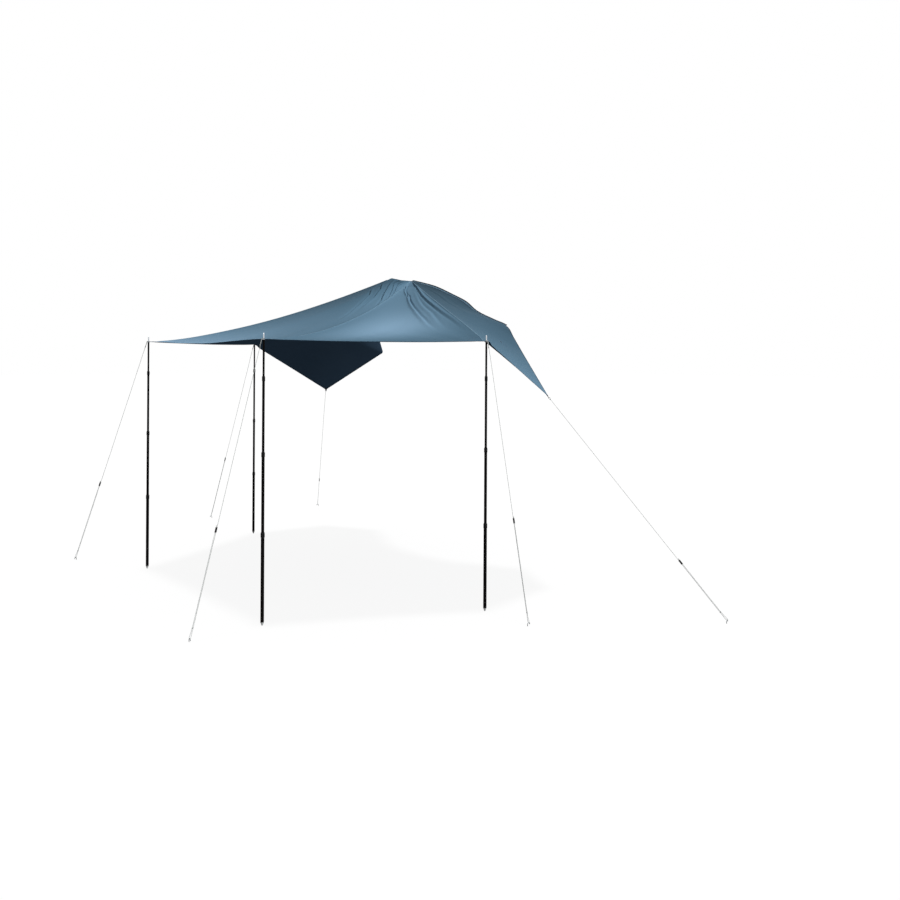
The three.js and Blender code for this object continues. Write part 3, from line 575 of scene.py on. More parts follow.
def column_shares(panel, width):
    """Shares across a panel, with columns at fixed distances beside each seam."""
    beside = [0.0045, SEAM_HALF, SEAM_HALF + 0.0015, 0.014]
    scale = min(1, width * 0.2 / 0.014)
    start = [gap * scale / width for gap in beside] if panel["seams"][0] else []
    end = [1 - gap * scale / width for gap in beside[::-1]] if panel["seams"][1] else []
    low, high = (start or [0])[-1], (end or [1])[0]
    inner = panel["columns"]
    between = [low + (high - low) * k / inner for k in range(1, inner)]
    return [0.0, *start, *between, *end], scale


print("the cloth has", len(PLEATS), "pleats and welts")

# %% [markdown]
# Patches of the same cloth are sewn on where the load comes in: at the corners, near the peak and
# under the press studs. They could be pieces of their own, but only their outline shows at this
# size, so each point of the sheet says how far inside a patch it lies. It carries painted light and
# shade as well. The panels differ from each other by more than these lamps give, so each rib has a
# painted brightness at the peak and one at the hem, set beside the photograph, and the points
# between two ribs take their share of both. A front pole's hip has painted shade on its front side
# and a painted highlight on the other.

# %% Patches and painted shading
STUD_SHARE, STUD_TURNS = 0.68, {"left": 0.375, "right": 5.625}
CORNER_DOUBLED, PEAK_DOUBLED, STUD_DOUBLED = 0.15, 0.145, (0.055, 0.045)
PEAK_PATCH_TURNS = (4.25, 5.05)


def patch_depth(at, turn, share, width):
    """How far inside a doubled patch of cloth a point is: the corners, the peak and the wings."""
    inside = 0
    for pole in poles.values():
        away = math.hypot(at[0] - pole[0], at[1] + MIDDLE - pole[1])
        inside = max(inside, CORNER_DOUBLED - away)
    for middle in STUD_TURNS.values():
        aside, down = abs(turn - middle) * width, abs(share - STUD_SHARE) * 1.6
        inside = max(inside, min(STUD_DOUBLED[0] - aside, STUD_DOUBLED[1] - down))
    if PEAK_PATCH_TURNS[0] < turn < PEAK_PATCH_TURNS[1]:
        inside = max(inside, PEAK_DOUBLED - math.hypot(at[0], at[1] + MIDDLE - PEAK_DEPTH))
    return inside


# the painted brightness of each panel beside the middle level: at the peak and at the hem of its
# first rib, the same for its second rib, and how much painted light its middle gets
PAINTED_SHADES = [(0.24, 1.05, 0.36, 0.80, 0), (1.10, 0.64, 1.00, 0.76, 0.76), (0.31, 1.72, 0.44, 1.60, 0),
         (0.44, 1.60, 1.24, 0.72, 0), (1.00, 0.76, 1.10, 0.64, 0.76), (0.36, 0.80, 0.24, 1.05, 0)]
HIP_WIDTH, HIP_PAINTED_HIGHLIGHT, HIP_PAINTED_SHADE = 0.03, 0.10, -0.22


def painted_shading_at(turn, share, width):
    """The painted light and shade at one place, from the two ribs beside it and the front hips."""
    number = min(5, int(turn))
    across = turn - number
    top_a, low_a, top_b, low_b, middle = PAINTED_SHADES[number]
    side_a, side_b = top_a ** (1 - share) * low_a**share, top_b ** (1 - share) * low_b**share
    whole = side_a + (side_b - side_a) * across + middle * swell(across) * swell(share**1.6) ** 2
    # a painted highlight on the back side of each front hip, and a painted shade on its front side
    off = (turn - 4 if turn > 3 else 2 - turn) * width / HIP_WIDTH
    ridge = math.exp(-abs(off)) * (HIP_PAINTED_HIGHLIGHT if off > 0 else HIP_PAINTED_SHADE)
    return whole * (1 + ridge)


print("tone of the front hem's middle", round(painted_shading_at(3, 1, 1), 2))

# %% [markdown]
# The sheet is a grid. Its rows go round the peak, closer together where the cloth is gathered and
# at the hem, and its columns run down it, closer together beside a seam. Each point is then lifted
# along the sheet's own normal by its folds, its seam and its hem, and by a slow drift that keeps
# the panels from being too smooth.

# %% The sheet's points
PANEL_LENGTH = 2.4


def make_sheet_grid():
    """Rows of points down the sheet, with each point's turn round the peak and seam distance."""
    rows = []
    for share in row_shares():
        row = []
        for number, panel in enumerate(panels):
            first, second = panel["ribs"]
            width = max(1e-4, float(np.linalg.norm(first(share) - second(share))))
            shares, scale = column_shares(panel, width)
            if number == len(panels) - 1:
                shares.append(1.0)
            for across in shares:
                sides = zip(panel["seams"], (across, 1 - across))
                near = min([gap for sewn, gap in sides if sewn] or [9])
                at, turn = sheet_point(panel, across, share), number + across
                row.append({"at": at, "turn": turn, "share": share, "width": width,
                            "scale": scale, "seam_gap": near * width,
                            "painted_shading": painted_shading_at(turn, share, width),
                            "patch_gap": patch_depth(at, turn, share, width),
                            "edge_gap": min(turn, 6 - turn) * width})
        rows.append(row)
    return rows


sheet_rows = make_sheet_grid()
columns = len(sheet_rows[0])
sheet_peak = place(0, PEAK_DEPTH, PEAK_HEIGHT)
grid = np.array([[cell["at"] for cell in row] for row in sheet_rows])


def grid_normals(points):
    """Upward normals of a grid of rows and columns."""
    down = np.gradient(points, axis=0)
    round_peak = np.gradient(points, axis=1)
    normals = np.cross(down, round_peak)
    normals /= np.linalg.norm(normals, axis=2, keepdims=True) + 1e-12
    return normals


sheet_normals = grid_normals(grid)
hem_gap = np.linalg.norm(grid - grid[-1][None, :, :], axis=2)
lift = np.zeros(grid.shape[:2])
for i, row in enumerate(sheet_rows):
    for j, cell in enumerate(row):
        turn, share = cell["turn"], cell["share"]
        calm = min(1, min(abs(turn), abs(6 - turn)) / 0.12)
        high = fold_height(turn, share, cell["width"]) * calm + corner_folds(turn, share)
        drift = noise.noise(Vector(cell["at"]) * 2.1)
        high += SLACK * drift * smooth_step(0.05, 0.3, share) * calm
        if cell["scale"] > 0.6:
            beside = smooth_step(SEAM_HALF - 0.0004, SEAM_HALF + 0.0012, cell["seam_gap"])
            high += SEAM_RISE * (1 - beside)
        if 0.999 > share > 0.9:
            high += HEM_RISE * (1 - smooth_step(HEM_WIDTH - 0.002, HEM_WIDTH, hem_gap[i, j]))
        lift[i, j] = high
for pole in poles.values():
    away = np.hypot(grid[:, :, 0] - pole[0], grid[:, :, 1] + MIDDLE - pole[1])
    lift *= np.clip((away - 0.03) / 0.06, 0, 1)
cloth = grid + sheet_normals * lift[:, :, None]
print("sheet of", len(sheet_rows), "rows and", columns, "columns, folds up to",
      round(float(lift.max()) * 1000, 1), "mm")

# %% [markdown]
# The sheet becomes a mesh with a fan at the peak. It carries what the cloth's material needs: a
# UV map in metres for the weave and the stitches, the painted light and shade, and the distances
# to the nearest seam, to the hem, to the free inner edge and to the rim of a patch. Solidify then
# gives it a thickness, with a second, much darker material on the inner side, and round cutters
# open the holes for the pole pins.

# %% The canopy's mesh
def make_canopy():
    rows, cols = cloth.shape[:2]
    cells = [cell for row in sheet_rows for cell in row]
    faces = [(0, 1 + j, 2 + j) for j in range(cols - 1)]
    for i in range(rows - 1):
        for j in range(cols - 1):
            a = 1 + i * cols + j
            faces.append((a, a + cols, a + cols + 1, a + 1))
    piece = mesh_piece("canopy_cloth", [sheet_peak, *cloth.reshape(-1, 3)], faces)
    data = piece.data
    for name, at_peak in (("seam_gap", 0), ("patch_gap", 0), ("edge_gap", 0), ("painted_shading", 0.8)):
        values = data.attributes.new(name, "FLOAT", "POINT").data
        values.foreach_set("value", [at_peak] + [cell[name] for cell in cells])
    hem = data.attributes.new("hem_gap", "FLOAT", "POINT").data
    hem.foreach_set("value", [1.0, *hem_gap.reshape(-1)])
    uv = data.uv_layers.new(name="cloth_metres")
    flat = [(0, 0)] + [((cell["turn"] % 1.0001) * cell["width"], cell["share"] * PANEL_LENGTH)
                       for cell in cells]
    for loop in data.loops:
        uv.data[loop.index].uv = flat[loop.vertex_index]
    return piece


def only(piece):
    """Makes this the one selected and active object."""
    bpy.ops.object.select_all(action="DESELECT")
    piece.select_set(True)
    bpy.context.view_layer.objects.active = piece


def apply_all(piece):
    """Applies the modifiers of a piece, in their order."""
    only(piece)
    for modifier in list(piece.modifiers):
        bpy.ops.object.modifier_apply(modifier=modifier.name)


canopy = make_canopy()
wall = canopy.modifiers.new("wall", "SOLIDIFY")
wall.thickness = CLOTH
wall.offset = -1
wall.use_even_offset = True
wall.material_offset = 1
wall.material_offset_rim = 0
print("canopy sheet has", len(canopy.data.polygons), "faces")

# %% [markdown]
# The outer cloth is a plain-weave polyester with a matt coating: two close blues that drift over
# the sheet. Painted light and shade scale that colour, and where the painted light is strong a
# greyer blue is laid in as a painted sheen. Two rows of stitches and a painted highlight on the
# welt follow each seam, one row follows the hem and each patch, and a dark strip, partly binding
# and partly painted shade, closes the free inner edge. Real threads are a quarter of a millimetre,
# which is too fine to show, so the weave is drawn at 1.2 mm, with a stronger thread every 7 mm. The
# inner side is a much darker blue that hardly shines.

# %% Canopy cloth
THREAD, STRONG_THREAD = 0.0012, 0.007
STITCH_STEP, STITCH_LENGTH, STITCH_HALF, STITCH_RISE = 0.0025, 0.0017, 0.0006, 1.5
SEAM_HIGHLIGHT_HALF, HEM_FOLD, BINDING_AND_SHADE = 0.0055, 0.0030, 0.013
# where the rows of stitches run: metres from the seam, from the hem and inside a patch
SEAM_ROW, HEM_ROW, PATCH_ROW = 0.0046, 0.0185, 0.004


def cloth_map(tree):
    """The cloth's UV map in metres, and its two parts: across and along a panel."""
    uv = put(tree, "ShaderNodeUVMap", uv_map="cloth_metres").outputs[0]
    split = put(tree, "ShaderNodeSeparateXYZ", {0: uv})
    return uv, split.outputs["X"], split.outputs["Y"]


def weave_height(tree, coords, thread):
    """Two sets of bands that cross: the height of a plain weave with that thread spacing."""
    over, under = (put(tree, "ShaderNodeTexWave", {"Vector": coords,
                                                   "Scale": math.pi / (10 * thread)},
                       bands_direction=axis).outputs["Fac"] for axis in "XY")
    return put(tree, "ShaderNodeMath", {0: over, 1: under}, operation="MULTIPLY")


def line_mask(tree, value, centre, half):
    """One where value is within half of centre, and nothing elsewhere."""
    off = put(tree, "ShaderNodeMath", {0: value, 1: centre}, operation="SUBTRACT")
    gap = put(tree, "ShaderNodeMath", {0: off}, operation="ABSOLUTE")
    return put(tree, "ShaderNodeMath", {0: gap, 1: half}, operation="LESS_THAN")


def stitch_row(tree, gap, centre, way, half=STITCH_HALF):
    """One row of stitches: it lies that far from where gap is zero, and is dashed along way."""
    beat = put(tree, "ShaderNodeMath", {0: way, 1: STITCH_STEP}, operation="PINGPONG")
    dash = put(tree, "ShaderNodeMath", {0: beat, 1: STITCH_LENGTH}, operation="LESS_THAN")
    return put(tree, "ShaderNodeMath", {0: line_mask(tree, gap, centre, half), 1: dash},
               operation="MULTIPLY")


def together(tree, mask, *others):
    """Several masks as one: it is one wherever any of them is."""
    for other in others:
        mask = put(tree, "ShaderNodeMath", {0: mask, 1: other}, operation="MAXIMUM")
    return mask


def coated_polyester():
    material, tree = new_material("coated_polyester_canvas")
    uv, across, along = cloth_map(tree)
    space = put(tree, "ShaderNodeTexCoord").outputs["Object"]
    drift = put(tree, "ShaderNodeTexNoise", {"Vector": space, "Scale": 1.6, "Detail": 3.0})
    fine = put(tree, "ShaderNodeTexNoise", {"Vector": space, "Scale": 90.0, "Detail": 4.0})
    painted_shading, seam, hem, patch, edge = (
        put(tree, "ShaderNodeAttribute", attribute_name=name).outputs["Fac"]
        for name in ("painted_shading", "seam_gap", "hem_gap", "patch_gap", "edge_gap"))
    speck = put(tree, "ShaderNodeMath", {0: fine.outputs["Fac"], 1: 0.16}, operation="MULTIPLY")
    # painted sheen: a greyer blue laid in where the painted brightness is high
    pale = put(tree, "ShaderNodeMath", {0: painted_shading, 1: 1.3, 2: -1.0}, operation="MULTIPLY_ADD",
               use_clamp=True)
    colour = painted(tree, "#55758a", (drift.outputs["Fac"], "#5b7b90"), (speck, "#456074"),
                     (pale, "#627c90"))
    # the painted brightness can go past one, where a mix stops, so half of it is mixed and the
    # result is doubled
    level = put(tree, "ShaderNodeMath", {0: painted_shading, 1: 0.5}, operation="MULTIPLY")
    shaded_colour = put(tree, "ShaderNodeMix", {0: level, 6: linear("#000000"), 7: colour},
                data_type="RGBA").outputs[2]
    shaded_colour = put(tree, "ShaderNodeVectorMath", {0: shaded_colour, 1: (2.0, 2.0, 2.0)}, operation="MULTIPLY")
    # a painted highlight along each seam, on its welt
    seam_highlight = put(tree, "ShaderNodeMath", {0: line_mask(tree, seam, 0.0, SEAM_HIGHLIGHT_HALF), 1: 0.30},
               operation="MULTIPLY")
    stitch = together(tree, stitch_row(tree, seam, SEAM_ROW, along),
                      stitch_row(tree, hem, HEM_ROW, across),
                      stitch_row(tree, patch, PATCH_ROW, across, half=0.0007))
    inside = put(tree, "ShaderNodeMath", {0: patch, 1: 0.0}, operation="GREATER_THAN")
    doubled = put(tree, "ShaderNodeMath", {0: inside, 1: 0.22}, operation="MULTIPLY")
    # the dark strip along the free inner edge is partly binding and partly painted shade
    colour = painted(tree, shaded_colour, (seam_highlight, "#8aa9bc"), (stitch, "#2b4152"), (doubled, "#4a6377"),
                     (line_mask(tree, hem, 0.0, HEM_FOLD), "#34495a"),
                     (line_mask(tree, edge, 0.0, BINDING_AND_SHADE), "#1f2f3d"))
    strong, thin = weave_height(tree, uv, STRONG_THREAD), weave_height(tree, uv, THREAD)
    weave = put(tree, "ShaderNodeMath", {0: strong, 1: 0.4, 2: thin}, operation="MULTIPLY_ADD")
    raised = put(tree, "ShaderNodeMath", {0: stitch, 1: STITCH_RISE, 2: weave},
                 operation="MULTIPLY_ADD")
    rough = put(tree, "ShaderNodeMath", {0: fine.outputs["Fac"], 1: 0.2, 2: 0.7},
                operation="MULTIPLY_ADD")
    finish(tree, colour, rough, raised, (0.25, 0.0004), {"IOR": 1.45, "Specular IOR Level": 0.06})
    return material


# the inner side: a much darker blue than the outer cloth
def dark_underside():
    material, tree = new_material("dark_blue_underside")
    space = put(tree, "ShaderNodeTexCoord").outputs["Object"]
    drift = put(tree, "ShaderNodeTexNoise", {"Vector": space, "Scale": 2.5, "Detail": 3.0})
    colour = painted(tree, "#283949", (drift.outputs["Fac"], "#303f4f"))
    finish(tree, colour, 0.95, weave_height(tree, cloth_map(tree)[0], THREAD), (0.12, 0.0003),
           {"IOR": 1.45, "Specular IOR Level": 0.0})
    return material


canvas, inner_side = coated_polyester(), dark_underside()
canopy.data.materials.append(canvas)
canopy.data.materials.append(inner_side)
apply_all(canopy)


PIN_HOLE = 0.0070


def cut_pin_holes(piece):
    """Round holes for the four pole pins."""
    cutters = []
    for plan in poles.values():
        bpy.ops.mesh.primitive_cylinder_add(vertices=32, radius=PIN_HOLE, depth=0.02,
                                            location=place(*plan, CORNER_HEIGHT))
        cutters.append(bpy.context.object)
    only(cutters[0])
    for cutter in cutters:
        cutter.select_set(True)
    bpy.ops.object.join()
    cutter = bpy.context.object
    hole = piece.modifiers.new("pin_holes", "BOOLEAN")
    hole.operation = "DIFFERENCE"
    hole.solver = "EXACT"
    hole.object = cutter
    apply_all(piece)
    bpy.data.objects.remove(cutter)


cut_pin_holes(canopy)
for face in canopy.data.polygons:
    face.use_smooth = True
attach(canopy, "canopy_frame")
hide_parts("canopy")
print("canopy finished with", len(canopy.data.polygons), "faces")

# %% [markdown]
# Hard pieces come next. The turned ones start as a circle that is drawn out through a profile of
# radius and height, and the ones that the model already shapes are copied from it, welded, and
# given soft edges. Every copy is its own mesh, in its own place.

# %% Helpers for pieces
def smooth_by(piece, angle):
    """Shades a piece smooth where its faces meet at less than that many degrees."""
    only(piece)
    bpy.ops.object.shade_smooth_by_angle(angle=math.radians(angle))


def soft_edges(piece, width, angle=35, segments=2):
    """Bevels the sharp edges of a piece, and shades it smooth between them."""
    bevel = piece.modifiers.new("soft_edges", "BEVEL")
    bevel.width = width
    bevel.segments = segments
    bevel.limit_method = "ANGLE"
    bevel.angle_limit = math.radians(angle)
    apply_all(piece)
    smooth_by(piece, angle)


def turned_piece(name, profile, sides=48, closed=False):
    """A round piece about Z, from pairs of radius and height."""
    bpy.ops.object.select_all(action="DESELECT")
    bpy.ops.mesh.primitive_circle_add(vertices=sides, radius=profile[0][0])
    piece = bpy.context.object
    piece.name = piece.data.name = name
    piece.data.transform(Matrix.Translation((0, 0, profile[0][1])))
    bpy.ops.object.mode_set(mode="EDIT")
    bpy.ops.mesh.select_mode(type="VERT")
    bpy.ops.mesh.select_all(action="SELECT")
    for (r0, z0), (r1, z1) in zip(profile, profile[1:]):
        bpy.ops.mesh.extrude_region_move(TRANSFORM_OT_translate={"value": (0, 0, z1 - z0)})
        bpy.ops.transform.resize(value=(r1 / r0, r1 / r0, 1), center_override=(0, 0, 0))
    bpy.ops.mesh.select_all(action="SELECT")
    bpy.ops.mesh.remove_doubles(threshold=1e-6)
    if not closed:
        bpy.ops.mesh.fill_holes(sides=0)
    bpy.ops.mesh.select_all(action="SELECT")
    bpy.ops.mesh.normals_make_consistent(inside=False)
    bpy.ops.object.mode_set(mode="OBJECT")
    return piece


def copied(piece, name, matrix):
    """A copy with its own mesh, put in place by a matrix."""
    data = piece.data.copy()
    data.name = name
    data.transform(matrix)
    return linked(name, data)


def frame_matrix(origin, x, z):
    """A matrix that puts a piece's own X and Z along two square directions, at an origin."""
    y = np.cross(z, x)
    return Matrix([[x[0], y[0], z[0], origin[0]], [x[1], y[1], z[1], origin[1]],
                   [x[2], y[2], z[2], origin[2]], [0, 0, 0, 1]])


def dressed(node, name, width, dissolve=2):
    """A copy of one of the model's nodes, welded, with soft edges."""
    made = copied(nodes[node], name, Matrix.Identity(4))
    only(made)
    bpy.ops.object.mode_set(mode="EDIT")
    bpy.ops.mesh.select_all(action="SELECT")
    bpy.ops.mesh.remove_doubles(threshold=1e-6)
    bpy.ops.mesh.dissolve_limited(angle_limit=math.radians(dissolve))
    bpy.ops.object.mode_set(mode="OBJECT")
    made.data.materials.clear()
    soft_edges(made, width)
    return made


def dress(piece, material, body, *covers, slot=None):
    """Gives a finished piece its material, the body it moves with and the nodes it stands for."""
    if not piece.data.materials:
        piece.data.materials.append(material)
    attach(piece, body)
    if covers:
        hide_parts(*covers)


# %% [markdown]
# The hard materials. The tubes are aluminium with a black powder coat, satin, with a very fine
# orange peel. The twist locks, runners and buckle are moulded black nylon with a light grain. The
# feet are grey moulded plastic. The pins are turned stainless steel, with fine rings left by the
# lathe, and the pegs are galvanised steel wire.

# %% Hard materials
def moulded(name, dark, light, rough, grain, bump=0.12, gloss=0.3):
    """Moulded or coated plastic: two close colours in a fine noise, and a grain in millimetres."""
    material, tree = new_material(name)
    space = put(tree, "ShaderNodeTexCoord").outputs["Object"]
    fine = put(tree, "ShaderNodeTexNoise", {"Vector": space, "Scale": 1000 / grain, "Detail": 3.0})
    broad = put(tree, "ShaderNodeTexNoise", {"Vector": space, "Scale": 22.0, "Detail": 4.0})
    shine = put(tree, "ShaderNodeMath", {0: broad.outputs["Fac"], 1: 0.22, 2: rough - 0.11},
                operation="MULTIPLY_ADD")
    finish(tree, painted(tree, dark, (broad.outputs["Fac"], light)), shine, fine.outputs["Fac"],
           (bump, 0.0002), {"IOR": 1.5, "Specular IOR Level": gloss})
    return material


def worked_steel(name, dark, light, rough, lathe):
    """Bare steel. Lathe rings run round it every so many millimetres, or zinc mottles it."""
    material, tree = new_material(name)
    space = put(tree, "ShaderNodeTexCoord").outputs["Object"]
    mottle = put(tree, "ShaderNodeTexNoise", {"Vector": space, "Scale": 160.0, "Detail": 4.0})
    height = mottle.outputs["Fac"]
    if lathe:
        rings = put(tree, "ShaderNodeTexWave", {"Vector": space,
                                                "Scale": math.pi / (10 * lathe / 1000)},
                    bands_direction="Z")
        height = rings.outputs["Fac"]
    shine = put(tree, "ShaderNodeMath", {0: mottle.outputs["Fac"], 1: 0.25, 2: rough - 0.12},
                operation="MULTIPLY_ADD")
    finish(tree, painted(tree, dark, (mottle.outputs["Fac"], light)), shine, height,
           (0.2, 0.0001), {"Metallic": 1.0})
    return material


powder_coat = moulded("black_powder_coated_aluminium", "#0b0a0a", "#100f0f", 0.7, 1.2, 0.02, 0.015)
nylon = moulded("black_moulded_nylon", "#0b0c0d", "#131415", 0.55, 0.8, 0.15, 0.16)
grey_plastic = moulded("grey_moulded_foot_plastic", "#a9acac", "#bcbfbe", 0.55, 1.0, 0.15)
stainless = worked_steel("turned_stainless_steel", "#b4b9be", "#d2d6da", 0.3, 0.6)
galvanised = worked_steel("galvanised_steel_wire", "#6f7375", "#9a9ea0", 0.42, None)
hard = (powder_coat, nylon, grey_plastic, stainless, galvanised)
print("hard materials:", [material.name for material in hard])

# %% [markdown]
# A pole is four tubes that slide into each other. A twist lock sits at each join: its lower half
# fits the wide tube, its nose tapers to the narrow one, and flutes round it give the hand a grip.
# One pole is modelled about Z and copied to the four places.

# %% Poles
TUBE_RADII, TUBE_WALL, TUBE_LENGTH = (0.013, 0.01125, 0.0095, 0.00775), 0.0012, 0.650
LOCK_HEIGHTS, LOCK_LENGTH, LOCK_WALL, TUBE_IN_LOCK = (0.664, 1.253, 1.809), 0.036, 0.0017, 0.024
FLUTES, GRIP = 24, (0.005, 0.0225)
FOOT_HEIGHT, FOOT_TIP, PLUG_DEPTH, PLUG_RIM = 0.024, 0.0045, 0.028, 0.003
PIN_RADIUS, PIN_TOP, SHOULDER_RADIUS, SEAT_GAP, SLIDE_GAP = 0.005, 2.146, 0.011, 0.0003, 0.00035
SHOULDER_TOP = CORNER_HEIGHT - CLOTH - SEAT_GAP
TUBE_TOPS = [h - LOCK_LENGTH / 2 + TUBE_IN_LOCK for h in LOCK_HEIGHTS]
TUBE_TOPS.append(SHOULDER_TOP - PLUG_RIM - SEAT_GAP)


def make_tube(level):
    outer = TUBE_RADII[level]
    inner, high = outer - TUBE_WALL, TUBE_TOPS[level]
    low = FOOT_HEIGHT + SEAT_GAP if level == 0 else high - TUBE_LENGTH
    edge = 0.0003
    profile = [(inner, low), (outer - edge, low), (outer, low + edge), (outer, high - edge),
               (outer - edge, high), (inner, high), (inner, low)]
    return turned_piece(f"tube_{level + 1}", profile, closed=True)


def make_lock(level):
    """A twist lock: a stepped bore, a tapered nose, a raised rim and cut flutes."""
    lower, upper = TUBE_RADII[level] + SLIDE_GAP, TUBE_RADII[level + 1] + SLIDE_GAP
    outer, base = lower + LOCK_WALL + 0.0003, LOCK_HEIGHTS[level] - LOCK_LENGTH / 2
    top, step = base + LOCK_LENGTH, base + TUBE_IN_LOCK + SLIDE_GAP
    nose = upper + LOCK_WALL
    profile = [(lower, base), (outer - 0.0009, base), (outer - 0.0002, base + 0.0008),
               (outer, base + 0.002), (outer, base + 0.0045), (outer - 0.0003, base + GRIP[0]),
               (outer - 0.0003, base + GRIP[1]), (outer, base + 0.023), (outer, base + 0.0265),
               (nose + 0.0006, top - 0.0022), (nose, top - 0.0006), (nose - 0.0006, top),
               (upper, top), (upper, step), (lower, step), (lower, base)]
    piece = turned_piece(f"lock_{level + 1}", profile, closed=True)
    for face in piece.data.polygons:
        middle = face.center
        turn = math.atan2(middle.y, middle.x) / (2 * math.pi) * FLUTES
        grip = base + GRIP[0] < middle.z < base + GRIP[1]
        face.select = bool(grip and math.hypot(middle.x, middle.y) > lower + 0.001
                           and round(turn * 2 - 0.5) % 2 == 0)
    bpy.ops.object.mode_set(mode="EDIT")
    bpy.ops.mesh.select_mode(type="FACE")
    bpy.ops.mesh.inset(thickness=0.0003, depth=-0.0006, use_individual=True)
    bpy.ops.object.mode_set(mode="OBJECT")
    return piece


def make_foot():
    """A plug with a rim, and a cone under it that ends in a small rounded tip."""
    rim, plug = TUBE_RADII[0], TUBE_RADII[0] - TUBE_WALL - 2 * SLIDE_GAP
    cone = FOOT_HEIGHT - PLUG_RIM
    profile = [(FOOT_TIP - 0.0015, 0), (FOOT_TIP - 0.0004, 0.0005), (FOOT_TIP + 0.0003, 0.0016),
               (FOOT_TIP + 0.0010, 0.0040), (rim - 0.0026, cone - 0.003),
               (rim - 0.0012, cone - 0.001), (rim - 0.0004, cone - 0.0003), (rim, cone + 0.0006),
               (rim, FOOT_HEIGHT - 0.0004), (rim - 0.0004, FOOT_HEIGHT), (plug, FOOT_HEIGHT),
               (plug, FOOT_HEIGHT + PLUG_DEPTH - 0.001),
               (plug - 0.001, FOOT_HEIGHT + PLUG_DEPTH)]
    return turned_piece("foot", profile)


def make_pin():
    """The top pin: a plug, the shoulder that carries the cloth, and a pin with a rounded end."""
    plug = TUBE_RADII[3] - TUBE_WALL - 2 * SLIDE_GAP
    low, seat = TUBE_TOPS[3] - PLUG_DEPTH, TUBE_TOPS[3] + SEAT_GAP
    wide, edge = SHOULDER_RADIUS, 0.0004
    profile = [(plug - 0.001, low), (plug, low + 0.001), (plug, seat), (wide - edge, seat),
               (wide, seat + edge), (wide, SHOULDER_TOP - edge), (wide - edge, SHOULDER_TOP),
               (PIN_RADIUS, SHOULDER_TOP)]
    dome = [(PIN_RADIUS * math.cos(a), PIN_TOP - PIN_RADIUS + PIN_RADIUS * math.sin(a))
            for a in (0, 0.35, 0.7, 1.05, 1.35)]
    return turned_piece("pin", [*profile, *dome, (0.0004, PIN_TOP)])


def make_poles():
    """Each part: its shape, name, body, material, slot, and the angle it is smooth up to."""
    parts = [(make_foot(), "foot", "section_1", grey_plastic, "foot_plastic", 35)]
    parts += [(make_tube(k), f"tube_{k + 1}", body, powder_coat, "black_tube", 40)
              for k, body in enumerate(("section_1", "section_2", "section_3", None))]
    parts += [(make_lock(k), f"collar_{k + 1}", f"lock_{k + 1}", nylon, "lock_plastic", 40)
              for k in range(3)]
    parts.append((make_pin(), "top_pin", None, stainless, "pin_steel", 35))
    for first, part, body, material, slot, angle in parts:
        smooth_by(first, angle)
        for name, plan in poles.items():
            made = copied(first, f"{name}_{part}_looks", Matrix.Translation(place(*plan, 0)))
            dress(made, material, f"{name}_{body}" if body else "canopy_frame", f"{name}_{part}",
                  slot=slot)
        bpy.data.objects.remove(first)
    print("each pole has", len(parts), "pieces")


make_poles()

# %% [markdown]
# Each corner of the cloth has a steel eyelet round its pin. Pegs are bent wire: a straight shaft
# and a half turn for the hook. Runners are the model's own, with moulded edges.

# %% Eyelets, pegs and runners
def make_eyelets():
    low, high = CORNER_HEIGHT + 0.0001, CORNER_HEIGHT + 0.0011
    ring = turned_piece("eyelet", [(0.0064, low), (0.0115, low), (0.0118, low + 0.0003),
                                   (0.0107, high - 0.0001), (0.0087, high), (0.0070, high - 0.0002),
                                   (0.0064, low + 0.0004), (0.0064, low)], closed=True)
    smooth_by(ring, 50)
    for name, plan in poles.items():
        made = copied(ring, f"{name}_eyelet", Matrix.Translation(place(*plan, 0)))
        dress(made, stainless, "canopy_frame", slot="pin_steel")
    bpy.data.objects.remove(ring)


def make_peg(guy):
    run = runs[guy]
    flat = unit([run["across"][0], run["across"][1], 0])
    foot = np.array([run["hook"][0], run["hook"][1], 0])
    middle = PEG_HOOK_TOP - PEG_HOOK
    bend = [foot + flat * PEG_HOOK * math.cos(a) + UP * (middle + PEG_HOOK * math.sin(a))
            for a in np.linspace(math.pi, 0, 25)]
    start = foot - flat * PEG_HOOK
    end = foot + flat * PEG_HOOK + UP * (middle - PEG_HOOK_TAIL)
    path = [start, start + UP * 0.004, start + UP * 0.009, *bend, end]
    piece = tube_piece(f"{guy}_peg_looks", path, PEG_ROD, sides=16)
    soft_edges(piece, 0.0006, angle=60)
    dress(piece, galvanised, "canopy_frame", f"{guy}_peg", slot="peg_steel")


make_eyelets()
for guy in PEGS:
    make_peg(guy)
    runner = dressed(f"{guy}_runner", f"{guy}_runner_looks", 0.0007)
    dress(runner, nylon, f"{guy}_slider", f"{guy}_runner", slot="lock_plastic")
print("pegs, runners and eyelets made")

# %% [markdown]
# A band of doubled cloth, 36 mm wide, is sewn along the canopy's inner edge from wing to wing over
# the peak. It lies edge to edge with the sheet, has a thin roll of piping along its outer side and
# two rows of stitches. It is swept along the sheet's own edge, with its width square to that edge.

# %% Edge band
BAND_LAST, BAND_WALL, SEWN_GAP = 0.47, 0.002, 0.0004
# the band's section: metres across from the cloth's edge, and metres down from its face
PIPING_AT, PIPING_RADIUS = 0.0303, 0.0055
BAND_SECTION = [(0.0, 0.0003), (0.0008, 0.0), (0.0246, 0.0)]
BAND_SECTION += [(PIPING_AT + PIPING_RADIUS * math.cos(a), -0.0014 - PIPING_RADIUS * math.sin(a))
                 for a in (2.8, 2.3, 1.8, 1.3, 0.8, 0.3, -0.3, -0.9)]
BAND_SECTION += [(PIPING_AT, BAND_WALL), (0.0, BAND_WALL)]
